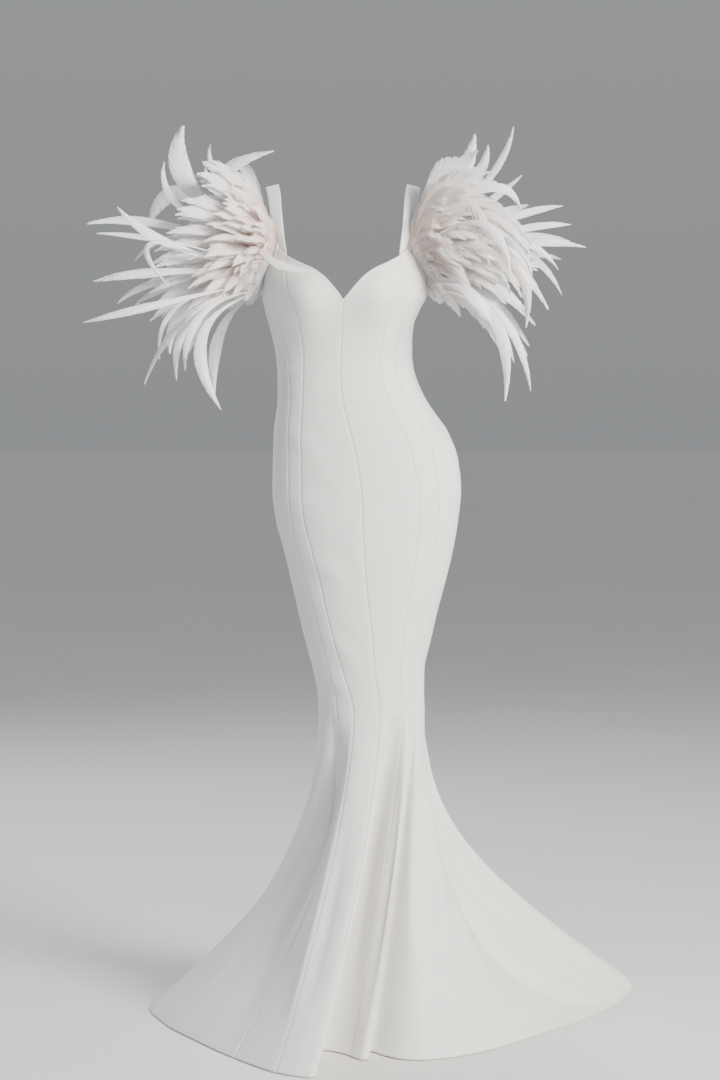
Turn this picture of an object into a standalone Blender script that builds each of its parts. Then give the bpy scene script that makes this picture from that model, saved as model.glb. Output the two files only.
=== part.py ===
"""Mermaid gown with feather trims, in its worn shape and empty inside.

Twelve gores run from the neckline to the hem. Two straps join the tops of the inner
gores, front and back, and a narrow tape round each armhole carries the feathers.

Metres, +Z up. The origin is on the shoulder line, midway between the two straps, where
the gown is held. The front faces -Y, and +X is the wearer's left. The tables give
heights above the floor and distances forward of the side seams, and `place` takes them
to this frame. Angles round the body are in degrees from the centre front, positive
towards the wearer's left.
"""

from bisect import bisect_right
from collections import namedtuple
from math import cos, exp, floor, hypot, radians, sin

import bmesh
import bpy
from mathutils import Vector
from mathutils.bvhtree import BVHTree

MM = 0.001

SHOULDER_HEIGHT = 1.571
KNEE_HEIGHT = 0.590
CLOTH = 2.0 * MM
SEAM_GAP = 0.3 * MM
FULL_TURN = 360.0

BODY_ROWS = 13
FLARE_ROWS = 12
BODY_ROW_CROWDING = 1.2
SECTION_ROUNDNESS = 0.85

CUP_OUT = 0.076
CUP_HEIGHT = 1.352
CUP_DEPTH = 0.024
CUP_WIDTH = 0.050
CUP_RISE = 0.055

TUCK_EASE = 2.0
ARC_STEPS = 60
EDGE_TRIES = 12
SMOOTH_ANGLE = 35.0

STRAP_COLUMNS = 3
STRAP_STEPS = 3
STRAP_WIDTH = 0.025
STRAP_END_INSET = 0.01

TAPE_UP_STRAP = 0.042
TAPE_WIDTH = 4.0 * MM
TAPE_THICKNESS = 2.6 * MM
TAPE_CLEARANCE = 0.7 * MM
TAPE_CORNER = 3.0 * MM
TAPE_CORNER_GIRTH = 0.06
TAPE_STEPS = 6
SEATS = 40
EDGE_STATIONS = 14

STEM_LENGTH = 3.5 * MM
STEM_SIZE = 2.2 * MM
BLADE_STATIONS = ((0.2, 0.55), (0.45, 1.0), (0.72, 0.85), (0.9, 0.5), (1.0, 0.12))
BLADE_THICKNESS = 2.2 * MM
TIP_THINNING = 0.4
BLADE_FACING = Vector((0.0, -1.0, 0.3))
SHAFT_REACH = 0.02
ROOT_SHARE = 0.96
CORNERS = ((-1.0, -1.0), (1.0, -1.0), (1.0, 1.0), (-1.0, 1.0))
CLEARING_STEP = 5.0 * MM
CLEARING_TRIES = 24

IVORY_CREPE = ("crepe", (0.79, 0.78, 0.75, 1.0), 0.62)
IVORY_STRAP = ("strap_crepe", (0.80, 0.79, 0.77, 1.0), 0.58)
WHITE_FEATHER = ("feather", (0.84, 0.85, 0.87, 1.0), 0.48)

# Half sections of the body, from above the bust to the knee: how far the cloth reaches
# to each side of the middle plane, in front of the side seams and behind them.
Section = namedtuple("Section", "height right left front back")
SECTIONS = (
    Section(1.460, -0.140, 0.140, 0.085, 0.085),
    Section(1.430, -0.148, 0.150, 0.100, 0.092),
    Section(1.395, -0.152, 0.157, 0.112, 0.095),
    Section(1.365, -0.151, 0.156, 0.116, 0.094),
    Section(1.340, -0.146, 0.144, 0.112, 0.092),
    Section(1.312, -0.1386, 0.1325, 0.104, 0.088),
    Section(1.284, -0.131, 0.1295, 0.097, 0.084),
    Section(1.256, -0.1255, 0.1295, 0.091, 0.080),
    Section(1.2275, -0.1227, 0.133, 0.088, 0.078),
    Section(1.199, -0.122, 0.1425, 0.089, 0.082),
    Section(1.171, -0.122, 0.156, 0.092, 0.090),
    Section(1.143, -0.1255, 0.175, 0.095, 0.100),
    Section(1.115, -0.129, 0.195, 0.098, 0.110),
    Section(1.059, -0.131, 0.2158, 0.103, 0.127),
    Section(1.0025, -0.132, 0.2214, 0.106, 0.135),
    Section(0.946, -0.1255, 0.2158, 0.107, 0.132),
    Section(0.890, -0.1105, 0.2064, 0.106, 0.123),
    Section(0.834, -0.0974, 0.193, 0.103, 0.110),
    Section(0.7775, -0.0843, 0.178, 0.100, 0.096),
    Section(0.721, -0.0711, 0.165, 0.096, 0.084),
    Section(0.665, -0.0561, 0.153, 0.092, 0.073),
    Section(0.620, -0.0475, 0.1525, 0.089, 0.066),
    Section(0.590, -0.0458, 0.1539, 0.088, 0.062),
)

# Angles of the seams at each height. The straps stand on the tops of the inner gores.
SeamRow = namedtuple(
    "SeamRow",
    "height centre_front princess_right princess_left side_front_right side_front_left "
    "side_back back_princess",
)
SEAMS = (
    SeamRow(1.460, 0.0, -45.0, 45.0, -56.0, 56.0, 126.0, 138.0),
    SeamRow(1.430, 0.0, -45.0, 45.0, -56.0, 56.0, 126.0, 138.0),
    SeamRow(1.368, 0.5, -42.0, 41.0, -58.0, 57.0, 126.0, 140.0),
    SeamRow(1.312, 1.0, -35.0, 38.0, -57.0, 55.0, 127.0, 143.0),
    SeamRow(1.256, -2.5, -36.0, 32.0, -55.0, 49.0, 128.0, 146.0),
    SeamRow(1.199, -6.0, -39.5, 29.0, -55.0, 46.0, 129.0, 147.0),
    SeamRow(1.143, -7.5, -42.5, 28.5, -56.0, 46.0, 130.0, 147.0),
    SeamRow(1.059, -5.5, -43.7, 30.0, -55.4, 47.0, 130.0, 146.0),
    SeamRow(0.974, -3.0, -43.5, 34.0, -55.0, 50.0, 130.0, 146.0),
    SeamRow(0.890, -3.0, -41.5, 33.5, -56.0, 50.0, 130.0, 146.0),
    SeamRow(0.834, -2.0, -38.5, 33.0, -54.0, 50.0, 130.0, 147.0),
    SeamRow(0.7775, 1.0, -36.0, 32.5, -50.0, 49.0, 131.0, 148.0),
    SeamRow(0.721, 4.0, -32.0, 33.0, -47.0, 49.0, 131.0, 149.0),
    SeamRow(0.665, 6.0, -27.5, 33.5, -45.0, 50.0, 132.0, 150.0),
    SeamRow(0.590, 8.0, -20.0, 35.0, -40.5, 52.0, 132.0, 150.0),
)

# Height of the top edge round the body, the same on both sides.
EdgeRow = namedtuple("EdgeRow", "angle height")
NECKLINE = (
    EdgeRow(0.0, 1.352),
    EdgeRow(6.0, 1.373),
    EdgeRow(13.5, 1.395),
    EdgeRow(21.0, 1.409),
    EdgeRow(30.0, 1.4195),
    EdgeRow(38.0, 1.428),
    EdgeRow(45.0, 1.436),
)
ARMHOLE = (
    EdgeRow(56.0, 1.450),
    EdgeRow(61.0, 1.432),
    EdgeRow(68.0, 1.410),
    EdgeRow(78.0, 1.390),
    EdgeRow(90.0, 1.372),
    EdgeRow(105.0, 1.372),
    EdgeRow(118.0, 1.385),
    EdgeRow(126.0, 1.402),
)
BACK_NECKLINE = (
    EdgeRow(138.0, 1.400),
    EdgeRow(150.0, 1.372),
    EdgeRow(165.0, 1.352),
    EdgeRow(180.0, 1.346),
)

# The hem, by the angle at the knee that each line of the flare springs from. A tuck draws
# the cloth of a fold sideways and back, `late` and `lie` say how long a line hangs before
# it runs out and how flat it then lies, and a dent is a soft valley or ridge half way down.
HemRow = namedtuple("HemRow", "angle across forward tuck_across tuck_forward late lie dent")
HEM = (
    HemRow(-168.0, -0.110, -0.800, 0.0, 0.0, 2.1, 0.60, 0.000),
    HemRow(-155.0, -0.210, -0.700, 0.0, 0.0, 2.1, 0.60, 0.016),
    HemRow(-140.0, -0.275, -0.560, 0.0, 0.0, 2.1, 0.60, -0.016),
    HemRow(-125.0, -0.320, -0.400, 0.0, 0.0, 2.2, 0.75, 0.014),
    HemRow(-108.0, -0.344, -0.270, 0.0, 0.0, 2.4, 0.95, -0.010),
    HemRow(-90.0, -0.374, -0.100, 0.0, 0.0, 2.4, 1.10, 0.000),
    HemRow(-70.0, -0.335, 0.040, 0.0, 0.0, 2.4, 1.10, 0.000),
    HemRow(-55.0, -0.262, 0.175, 0.0, 0.0, 2.3, 1.10, -0.016),
    HemRow(-48.0, -0.226, 0.235, 0.0, 0.0, 2.2, 1.10, -0.030),
    HemRow(-40.0, -0.190, 0.290, 0.0, 0.0, 2.0, 1.10, -0.022),
    HemRow(-30.0, -0.150, 0.345, 0.0, 0.0, 1.8, 1.05, -0.008),
    HemRow(-20.0, -0.115, 0.385, 0.0, 0.0, 1.6, 1.00, 0.000),
    HemRow(-5.0, -0.075, 0.410, 0.0, 0.0, 1.5, 1.00, 0.000),
    HemRow(8.0, -0.052, 0.417, 0.0, 0.0, 1.5, 1.00, 0.000),
    HemRow(13.0, -0.045, 0.410, 0.0, 0.0, 1.5, 1.00, 0.000),
    HemRow(16.5, -0.030, 0.390, -0.028, -0.020, 1.5, 1.00, 0.000),
    HemRow(20.0, -0.010, 0.365, -0.078, -0.065, 1.5, 1.00, 0.000),
    HemRow(24.0, 0.005, 0.340, -0.085, -0.095, 1.5, 1.00, 0.000),
    HemRow(28.0, 0.015, 0.330, -0.055, -0.095, 1.5, 1.00, 0.000),
    HemRow(35.0, 0.020, 0.315, -0.005, -0.040, 1.5, 1.00, 0.000),
    HemRow(42.0, 0.035, 0.305, 0.000, -0.005, 1.5, 1.00, 0.000),
    HemRow(46.5, 0.046, 0.297, 0.000, 0.000, 1.5, 1.00, 0.000),
    HemRow(48.5, 0.050, 0.295, -0.004, -0.025, 1.5, 1.00, 0.000),
    HemRow(50.5, 0.055, 0.290, -0.014, -0.048, 1.5, 1.00, 0.000),
    HemRow(53.0, 0.063, 0.290, -0.012, -0.048, 1.5, 1.00, 0.000),
    HemRow(56.0, 0.081, 0.297, -0.005, -0.024, 1.5, 1.00, 0.000),
    HemRow(59.0, 0.106, 0.302, 0.000, -0.006, 1.55, 1.00, 0.000),
    HemRow(62.0, 0.136, 0.302, 0.0, 0.0, 1.6, 1.00, 0.000),
    HemRow(66.0, 0.178, 0.291, 0.0, 0.0, 1.7, 0.97, 0.000),
    HemRow(70.0, 0.228, 0.262, 0.0, 0.0, 1.75, 0.95, 0.000),
    HemRow(74.0, 0.283, 0.212, 0.0, 0.0, 1.8, 0.92, 0.000),
    HemRow(80.0, 0.370, 0.105, 0.0, 0.0, 2.0, 0.80, 0.000),
    HemRow(90.0, 0.488, -0.055, 0.0, 0.0, 2.3, 0.60, -0.030),
    HemRow(100.0, 0.550, -0.170, 0.0, 0.0, 2.4, 0.90, -0.020),
    HemRow(110.0, 0.578, -0.280, 0.0, 0.0, 2.5, 1.25, 0.020),
    HemRow(122.0, 0.565, -0.420, 0.0, 0.0, 2.3, 0.90, -0.014),
    HemRow(138.0, 0.480, -0.580, 0.0, 0.0, 2.1, 0.60, 0.014),
    HemRow(155.0, 0.330, -0.730, 0.0, 0.0, 2.1, 0.60, -0.016),
    HemRow(168.0, 0.170, -0.810, 0.0, 0.0, 2.1, 0.60, 0.012),
    HemRow(180.0, 0.020, -0.840, 0.0, 0.0, 2.1, 0.60, -0.012),
)

# The gores in order from the centre front round by the wearer's left, and the number of
# columns of cloth in each.
Gore = namedtuple("Gore", "name columns")
GORES = (
    Gore("centre_front_left", 14),
    Gore("inner_front_left", 9),
    Gore("outer_front_left", 12),
    Gore("outer_back_left", 7),
    Gore("inner_back_left", 3),
    Gore("centre_back_left", 5),
    Gore("centre_back_right", 5),
    Gore("inner_back_right", 3),
    Gore("outer_back_right", 6),
    Gore("outer_front_right", 7),
    Gore("inner_front_right", 4),
    Gore("centre_front_right", 5),
)
INNER_FRONT = 1
INNER_BACK = 4

# The strap between the gore tops: its middle line, out from the middle plane, and the way
# that its width lies, turned forward about the vertical and dropped outwards.
StrapRow = namedtuple("StrapRow", "out forward height yaw drop")
STRAP = (
    StrapRow(0.121, 0.060, 1.490, -30.0, -10.0),
    StrapRow(0.127, 0.033, 1.546, -16.0, 6.0),
    StrapRow(0.132, -0.003, 1.5705, 0.0, 14.0),
    StrapRow(0.131, -0.036, 1.558, 14.0, 10.0),
    StrapRow(0.126, -0.068, 1.510, 26.0, 2.0),
    StrapRow(0.120, -0.080, 1.450, 34.0, 0.0),
)

# The long feathers: a point half way along each one and its tip, out from the middle
# plane, above the floor and forward, with its greatest width.
Feather = namedtuple(
    "Feather", "bend_out bend_height bend_forward tip_out tip_height tip_forward width"
)
RIGHT_FEATHERS = (
    Feather(0.280, 1.561, 0.04, 0.292, 1.677, 0.06, 0.034),
    Feather(0.292, 1.518, 0.05, 0.328, 1.612, 0.05, 0.012),
    Feather(0.222, 1.566, 0.08, 0.120, 1.625, 0.10, 0.025),
    Feather(0.227, 1.574, 0.00, 0.246, 1.649, 0.00, 0.009),
    Feather(0.227, 1.556, 0.00, 0.257, 1.604, 0.00, 0.009),
    Feather(0.329, 1.494, 0.05, 0.475, 1.495, 0.05, 0.017),
    Feather(0.306, 1.449, 0.12, 0.409, 1.520, 0.14, 0.016),
    Feather(0.336, 1.452, 0.17, 0.306, 1.366, 0.17, 0.010),
    Feather(0.329, 1.463, 0.06, 0.456, 1.477, 0.06, 0.010),
    Feather(0.296, 1.475, 0.00, 0.390, 1.428, 0.00, 0.012),
    Feather(0.325, 1.404, 0.10, 0.458, 1.386, 0.10, 0.018),
    Feather(0.323, 1.395, 0.02, 0.421, 1.348, 0.02, 0.012),
    Feather(0.306, 1.388, -0.02, 0.391, 1.348, -0.02, 0.012),
    Feather(0.321, 1.344, 0.15, 0.472, 1.308, 0.15, 0.014),
    Feather(0.278, 1.325, 0.12, 0.363, 1.193, 0.12, 0.012),
    Feather(0.270, 1.317, 0.16, 0.298, 1.199, 0.16, 0.014),
    Feather(0.251, 1.321, 0.19, 0.281, 1.216, 0.19, 0.014),
    Feather(0.299, 1.345, 0.08, 0.335, 1.239, 0.08, 0.008),
    Feather(0.283, 1.346, 0.05, 0.320, 1.252, 0.05, 0.022),
    Feather(0.249, 1.284, 0.20, 0.212, 1.146, 0.22, 0.020),
    Feather(0.229, 1.304, -0.03, 0.241, 1.178, -0.03, 0.020),
    Feather(0.132, 1.425, 0.13, 0.045, 1.400, 0.15, 0.016),
    Feather(0.190, 1.543, -0.05, 0.219, 1.594, -0.05, 0.020),
    Feather(0.293, 1.564, -0.08, 0.369, 1.501, -0.08, 0.030),
)
LEFT_FEATHERS = (
    Feather(0.209, 1.565, 0.03, 0.245, 1.665, 0.03, 0.025),
    Feather(0.235, 1.565, 0.00, 0.270, 1.648, 0.00, 0.018),
    Feather(0.260, 1.568, 0.02, 0.317, 1.681, 0.02, 0.013),
    Feather(0.248, 1.524, 0.00, 0.336, 1.592, 0.00, 0.012),
    Feather(0.260, 1.559, 0.05, 0.330, 1.519, 0.05, 0.016),
    Feather(0.292, 1.502, 0.04, 0.410, 1.530, 0.04, 0.014),
    Feather(0.258, 1.506, -0.02, 0.349, 1.538, -0.02, 0.018),
    Feather(0.308, 1.479, 0.08, 0.421, 1.491, 0.08, 0.013),
    Feather(0.303, 1.470, 0.02, 0.426, 1.465, 0.02, 0.018),
    Feather(0.310, 1.457, 0.05, 0.453, 1.451, 0.05, 0.014),
    Feather(0.305, 1.444, -0.02, 0.412, 1.434, -0.02, 0.013),
    Feather(0.297, 1.462, 0.10, 0.396, 1.404, 0.10, 0.012),
    Feather(0.313, 1.453, 0.00, 0.412, 1.362, 0.00, 0.014),
    Feather(0.284, 1.461, 0.12, 0.345, 1.387, 0.12, 0.012),
    Feather(0.249, 1.486, 0.16, 0.304, 1.384, 0.16, 0.014),
    Feather(0.306, 1.426, 0.06, 0.337, 1.298, 0.06, 0.020),
    Feather(0.283, 1.331, 0.10, 0.346, 1.179, 0.10, 0.014),
    Feather(0.272, 1.314, 0.14, 0.294, 1.161, 0.14, 0.018),
    Feather(0.253, 1.354, 0.08, 0.317, 1.234, 0.08, 0.018),
    Feather(0.233, 1.367, 0.12, 0.297, 1.261, 0.12, 0.018),
    Feather(0.217, 1.368, 0.16, 0.276, 1.296, 0.16, 0.018),
)
ARMHOLE_MIDDLE = (0.15, 1.42)

# Feathers of the fan behind each armhole, on the seats that the long ones leave: the way
# they point at the underarm and at the back strap, up from level and behind straight out,
# with their length, how much and in what turn it varies, their width and their droop.
Fan = namedtuple(
    "Fan", "rise_from rise_to behind_from behind_to length variety turn width droop"
)
BACK_FAN = Fan(-26.0, 66.0, 28.0, 40.0, 0.225, 0.18, 128.0, 0.022, 0.035)


class Table:
    """Rows of named columns, read between the rows along smooth curves."""

    def __init__(self, rows, turn=None):
        """Sort rows by their first column, and repeat them once each way after a turn."""
        found = sorted(tuple(row) for row in rows)
        if turn:
            back = [(row[0] - turn,) + row[1:] for row in found]
            ahead = [(row[0] + turn,) + row[1:] for row in found]
            found = back + found + ahead
        self.keys = [row[0] for row in found]
        self.columns = {
            name: [row[place] for row in found]
            for place, name in enumerate(rows[0]._fields)
        }
        self.slopes = {name: self.slopes_of(column) for name, column in self.columns.items()}

    def slopes_of(self, column):
        """Slope at each row, level where the column turns, so that no curve overshoots."""
        steps = [after - before for before, after in zip(self.keys, self.keys[1:])]
        rises = [
            (after - before) / step
            for before, after, step in zip(column, column[1:], steps)
        ]
        slopes = [rises[0]]
        for before, after in zip(rises, rises[1:]):
            slopes.append(2.0 * before * after / (before + after) if before * after > 0.0 else 0.0)
        slopes.append(rises[-1])
        return slopes

    def read(self, name, key):
        """Value of one column at a key, held level beyond the ends of the table."""
        column = self.columns[name]
        if key <= self.keys[0]:
            return column[0]
        if key >= self.keys[-1]:
            return column[-1]
        row = bisect_right(self.keys, key) - 1
        step = self.keys[row + 1] - self.keys[row]
        part = (key - self.keys[row]) / step
        slopes = self.slopes[name]
        rest = 1.0 - part
        return (
            column[row] * rest * rest * (1.0 + 2.0 * part)
            + column[row + 1] * part * part * (3.0 - 2.0 * part)
            + slopes[row] * step * part * rest * rest
            - slopes[row + 1] * step * part * part * rest
        )


BODY = Table(SECTIONS)
SEAM_ANGLES = Table(SEAMS)
FLARE = Table(HEM, FULL_TURN)
NECK_EDGE = Table(NECKLINE)
ARMHOLE_EDGE = Table(ARMHOLE)
BACK_EDGE = Table(BACK_NECKLINE)


def mix(start, end, part):
    """Value or point part of the way from start to end."""
    return start + (end - start) * part


def place(across, forward, height):
    """Point in the gown's frame from sizes measured on the standing gown."""
    return Vector((across, -forward, height - SHOULDER_HEIGHT))


def clear_scene():
    """Remove every object of the open scene."""
    for leftover in list(bpy.data.objects):
        bpy.data.objects.remove(leftover, do_unlink=True)


def material(name, finish):
    """Principled material of one piece, from a finish's name, colour and roughness."""
    title, colour, roughness = finish
    made = bpy.data.materials.new(f"{name}_{title}")
    made.use_nodes = True
    shader = made.node_tree.nodes["Principled BSDF"]
    shader.inputs["Base Color"].default_value = colour
    shader.inputs["Roughness"].default_value = roughness
    shader.inputs["Metallic"].default_value = 0.0
    return made


def add_object(name, mesh, finish):
    """Put a finished bmesh in the scene as one named, smooth piece."""
    data = bpy.data.meshes.new(name)
    mesh.to_mesh(data)
    mesh.free()
    data.shade_smooth()
    data.set_sharp_from_angle(angle=radians(SMOOTH_ANGLE))
    data.materials.append(material(name, finish))
    made = bpy.data.objects.new(name, data)
    bpy.context.collection.objects.link(made)
    return made


def top_height(angle):
    """Height of the neckline, strap base or armhole edge at an angle round the body."""
    turn = abs((angle + FULL_TURN / 2.0) % FULL_TURN - FULL_TURN / 2.0)
    if turn <= NECKLINE[-1].angle:
        return NECK_EDGE.read("height", turn)
    if turn < ARMHOLE[0].angle:
        part = (turn - NECKLINE[-1].angle) / (ARMHOLE[0].angle - NECKLINE[-1].angle)
        return mix(NECKLINE[-1].height, ARMHOLE[0].height, part)
    if turn <= ARMHOLE[-1].angle:
        return ARMHOLE_EDGE.read("height", turn)
    if turn < BACK_NECKLINE[0].angle:
        part = (turn - ARMHOLE[-1].angle) / (BACK_NECKLINE[0].angle - ARMHOLE[-1].angle)
        return mix(ARMHOLE[-1].height, BACK_NECKLINE[0].height, part)
    return BACK_EDGE.read("height", turn)


def seam_angles(height):
    """Angles of the twelve seams at a height, from the centre front round to it again."""
    def read(name):
        return SEAM_ANGLES.read(name, height)

    front = read("centre_front")
    side_back = read("side_back")
    back_princess = read("back_princess")
    return (
        front,
        read("princess_left"),
        read("side_front_left"),
        90.0,
        side_back,
        back_princess,
        180.0,
        FULL_TURN - back_princess,
        FULL_TURN - side_back,
        270.0,
        FULL_TURN + read("side_front_right"),
        FULL_TURN + read("princess_right"),
        FULL_TURN + front,
    )


def angle_at(girth, height):
    """Angle round the body of a place in the gores, counted in gores from the front seam."""
    turns = floor(girth / len(GORES))
    gore = floor(girth)
    part = girth - gore
    angles = seam_angles(height)
    first = gore - turns * len(GORES)
    return mix(angles[first], angles[first + 1], part) + turns * FULL_TURN


def body_point(height, angle):
    """Outer point of the cloth above the knee."""
    turn = radians(angle)
    left = BODY.read("left", height)
    right = BODY.read("right", height)
    across = (left + right) / 2.0 + (left - right) / 2.0 * sin(turn)
    fullness = abs(cos(turn)) ** SECTION_ROUNDNESS
    if cos(turn) < 0.0:
        return place(across, -BODY.read("back", height) * fullness, height)
    forward = BODY.read("front", height) * fullness
    rise = exp(-(((height - CUP_HEIGHT) / CUP_RISE) ** 2))
    for side in (-1.0, 1.0):
        out = (across - side * CUP_OUT) / CUP_WIDTH
        forward += CUP_DEPTH * rise * exp(-out * out) * fullness
    return place(across, forward, height)


def flare_point(angle, fall):
    """Outer point of the cloth below the knee, where fall runs from 0 there to 1 at the hem."""
    knee = body_point(KNEE_HEIGHT, angle)
    turn = (angle + FULL_TURN / 2.0) % FULL_TURN - FULL_TURN / 2.0

    def read(name):
        return FLARE.read(name, turn)

    hem = place(read("across"), read("forward"), CLOTH)
    spread = 1.0 - (1.0 - fall ** read("late")) ** read("lie")
    tucked = 1.0 - (1.0 - fall) ** TUCK_EASE
    run = Vector((hem.x - knee.x, hem.y - knee.y))
    dent = run.normalized() * read("dent") * 4.0 * fall * (1.0 - fall)
    return Vector((
        knee.x + run.x * spread + read("tuck_across") * tucked + dent.x,
        knee.y + run.y * spread - read("tuck_forward") * tucked + dent.y,
        mix(knee.z, hem.z, fall),
    ))


class Meridian:
    """One line of the cloth from the top edge to the hem, with its rows along it."""

    def __init__(self, girth):
        """Find where the line starts, and how far it runs at each step below the knee."""
        self.girth = girth
        self.top = KNEE_HEIGHT * 2.0
        for _ in range(EDGE_TRIES):
            self.top = top_height(angle_at(girth, self.top))
        self.knee_angle = angle_at(girth, KNEE_HEIGHT)
        self.falls = [step / ARC_STEPS for step in range(ARC_STEPS + 1)]
        points = [flare_point(self.knee_angle, fall) for fall in self.falls]
        self.runs = [0.0]
        for before, after in zip(points, points[1:]):
            self.runs.append(self.runs[-1] + (after - before).length)

    def fall_at(self, part):
        """Fall at a part of the line's length below the knee."""
        run = part * self.runs[-1]
        step = min(bisect_right(self.runs, run), ARC_STEPS) - 1
        step = max(step, 0)
        length = self.runs[step + 1] - self.runs[step]
        return mix(self.falls[step], self.falls[step + 1], (run - self.runs[step]) / length)

    def point(self, row):
        """Outer point at a row, counted from the top edge, whole or between rows."""
        if row <= BODY_ROWS:
            part = max(row / BODY_ROWS, 0.0) ** BODY_ROW_CROWDING
            height = mix(self.top, KNEE_HEIGHT, part)
            return body_point(height, angle_at(self.girth, height))
        fall = self.fall_at(min((row - BODY_ROWS) / FLARE_ROWS, 1.0))
        return flare_point(self.knee_angle, fall)

    def downward(self, row):
        """Direction of the line down the cloth at a row."""
        reach = 0.1
        last = BODY_ROWS + FLARE_ROWS
        return self.point(min(row + reach, last)) - self.point(max(row - reach, 0.0))


def normals_at(girth, rows):
    """Unit normals out of the cloth down one line of it."""
    reach = 0.04
    line = Meridian(girth)
    before = Meridian(girth - reach)
    after = Meridian(girth + reach)
    return [
        line.downward(row).cross(after.point(row) - before.point(row)).normalized()
        for row in rows
    ]


def wall(name, outer, normals, finish):
    """Closed wall of cloth under a grid of outer points, rows running down the piece."""
    mesh = bmesh.new()
    skins = []
    for depth in (0.0, CLOTH):
        skins.append([
            [mesh.verts.new(point - normal * depth) for point, normal in zip(*pair)]
            for pair in zip(outer, normals)
        ])
    rows = len(outer) - 1
    columns = len(outer[0]) - 1
    for row in range(rows):
        for column in range(columns):
            falling = (outer[row][column] - outer[row + 1][column + 1]).length
            rising = (outer[row + 1][column] - outer[row][column + 1]).length
            for skin, inside in zip(skins, (False, True)):
                corners = [
                    skin[row][column],
                    skin[row + 1][column],
                    skin[row + 1][column + 1],
                    skin[row][column + 1],
                ]
                if rising < falling:
                    corners = corners[1:] + corners[:1]
                for triangle in ((0, 1, 2), (0, 2, 3)):
                    face = [corners[corner] for corner in triangle]
                    mesh.faces.new(face[::-1] if inside else face)
    out, back = skins
    for outer_line, inner_line, turned in (
        (out[0], back[0], False),
        (out[-1], back[-1], True),
        ([row[0] for row in out], [row[0] for row in back], True),
        ([row[-1] for row in out], [row[-1] for row in back], False),
    ):
        for step in range(len(outer_line) - 1):
            start, end = outer_line[step:step + 2]
            start_in, end_in = inner_line[step:step + 2]
            for face in ((start, end, start_in), (end, end_in, start_in)):
                mesh.faces.new(face[::-1] if turned else face)
    return add_object(name, mesh, finish)


def make_gore(index, gore):
    """One gore from the top edge to the hem, half a seam gap in from each side."""
    rows = range(BODY_ROWS + FLARE_ROWS + 1)
    lines = []
    line_normals = []
    for column in range(gore.columns + 1):
        girth = index + column / gore.columns
        line = Meridian(girth)
        lines.append([line.point(row) for row in rows])
        line_normals.append(normals_at(girth, rows))
    inset = SEAM_GAP / 2.0
    for edge, inward in ((0, 1), (-1, -2)):
        lines[edge] = [
            point + (neighbour - point).normalized() * inset
            for point, neighbour in zip(lines[edge], lines[inward])
        ]
    outer = [list(row) for row in zip(*lines)]
    normals = [list(row) for row in zip(*line_normals)]
    return wall(gore.name, outer, normals, IVORY_CREPE)


def curve_through(points, steps):
    """Points of a smooth curve through given ones, so many steps to each stretch."""
    padded = [points[0] * 2.0 - points[1]] + points + [points[-1] * 2.0 - points[-2]]
    found = []
    for first, start, end, last in zip(padded, padded[1:], padded[2:], padded[3:]):
        for step in range(steps):
            part = step / steps
            found.append(
                start
                + (end - first) * (part / 2.0)
                + (first * 2.0 - start * 5.0 + end * 4.0 - last) * (part * part / 2.0)
                + (start * 3.0 - first - end * 3.0 + last) * (part ** 3 / 2.0)
            )
    found.append(points[-1])
    return found


def on_side(girth, side):
    """Place round the body on the wearer's left, or its like on the wearer's right."""
    return girth if side > 0.0 else len(GORES) - girth


def top_edge(girth):
    """Point of the cloth's top edge, the way out of the cloth there, and its normal."""
    reach = 0.02
    line = Meridian(girth)
    normal = normals_at(girth, (0.0,))[0]
    along = Meridian(girth + reach).point(0.0) - Meridian(girth - reach).point(0.0)
    return line.point(0.0), normal.cross(along).normalized(), normal


def strap_end(girth, side):
    """End of a line of the strap, one seam gap above the gore, and the normal there."""
    point, beyond, normal = top_edge(on_side(girth, side))
    return point + beyond * SEAM_GAP, normal


def strap_grid(side):
    """Lines of outer points along one strap, inner edge first, and their normals."""
    lines = []
    ends = []
    for column in range(STRAP_COLUMNS + 1):
        part = column / STRAP_COLUMNS
        inside = mix(STRAP_END_INSET, 1.0 - STRAP_END_INSET, part)
        front = strap_end(INNER_FRONT + inside, side)
        back = strap_end(INNER_BACK + 1.0 - inside, side)
        points = [front[0]]
        for row in STRAP:
            yaw = radians(row.yaw)
            drop = radians(row.drop)
            width = Vector((side * cos(yaw) * cos(drop), -sin(yaw) * cos(drop), -sin(drop)))
            middle = place(side * row.out, row.forward, row.height)
            points.append(middle + width * STRAP_WIDTH * (part - 0.5))
        points.append(back[0])
        lines.append(curve_through(points, STRAP_STEPS))
        ends.append((front[1], back[1]))
    normals = []
    for column, line in enumerate(lines):
        inward = lines[max(column - 1, 0)]
        outward = lines[min(column + 1, STRAP_COLUMNS)]
        found = []
        for row in range(len(line)):
            along = line[min(row + 1, len(line) - 1)] - line[max(row - 1, 0)]
            found.append((outward[row] - inward[row]).cross(along).normalized() * side)
        found[0], found[-1] = ends[column]
        normals.append(found)
    return lines, normals


def make_strap(name, side):
    """One shoulder strap, from the top of the front gore to the top of the back gore."""
    lines, normals = strap_grid(side)
    if side > 0.0:
        lines = lines[::-1]
        normals = normals[::-1]
    outer = [list(row) for row in zip(*lines)]
    facing = [list(row) for row in zip(*normals)]
    return wall(name, outer, facing, IVORY_STRAP)


def strap_tape_run(side):
    """Tape stations beside the strap's outer edge, from its front end to its back end."""
    lines, normals = strap_grid(side)
    away = TAPE_CLEARANCE + TAPE_WIDTH / 2.0
    stations = []
    edge = lines[-1]
    for row, (point, normal) in enumerate(zip(edge, normals[-1])):
        along = edge[min(row + 1, len(edge) - 1)] - edge[max(row - 1, 0)]
        beyond = along.cross(normal).normalized() * side
        stations.append((point + beyond * away - normal * CLOTH / 2.0, beyond))
    return stations


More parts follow.
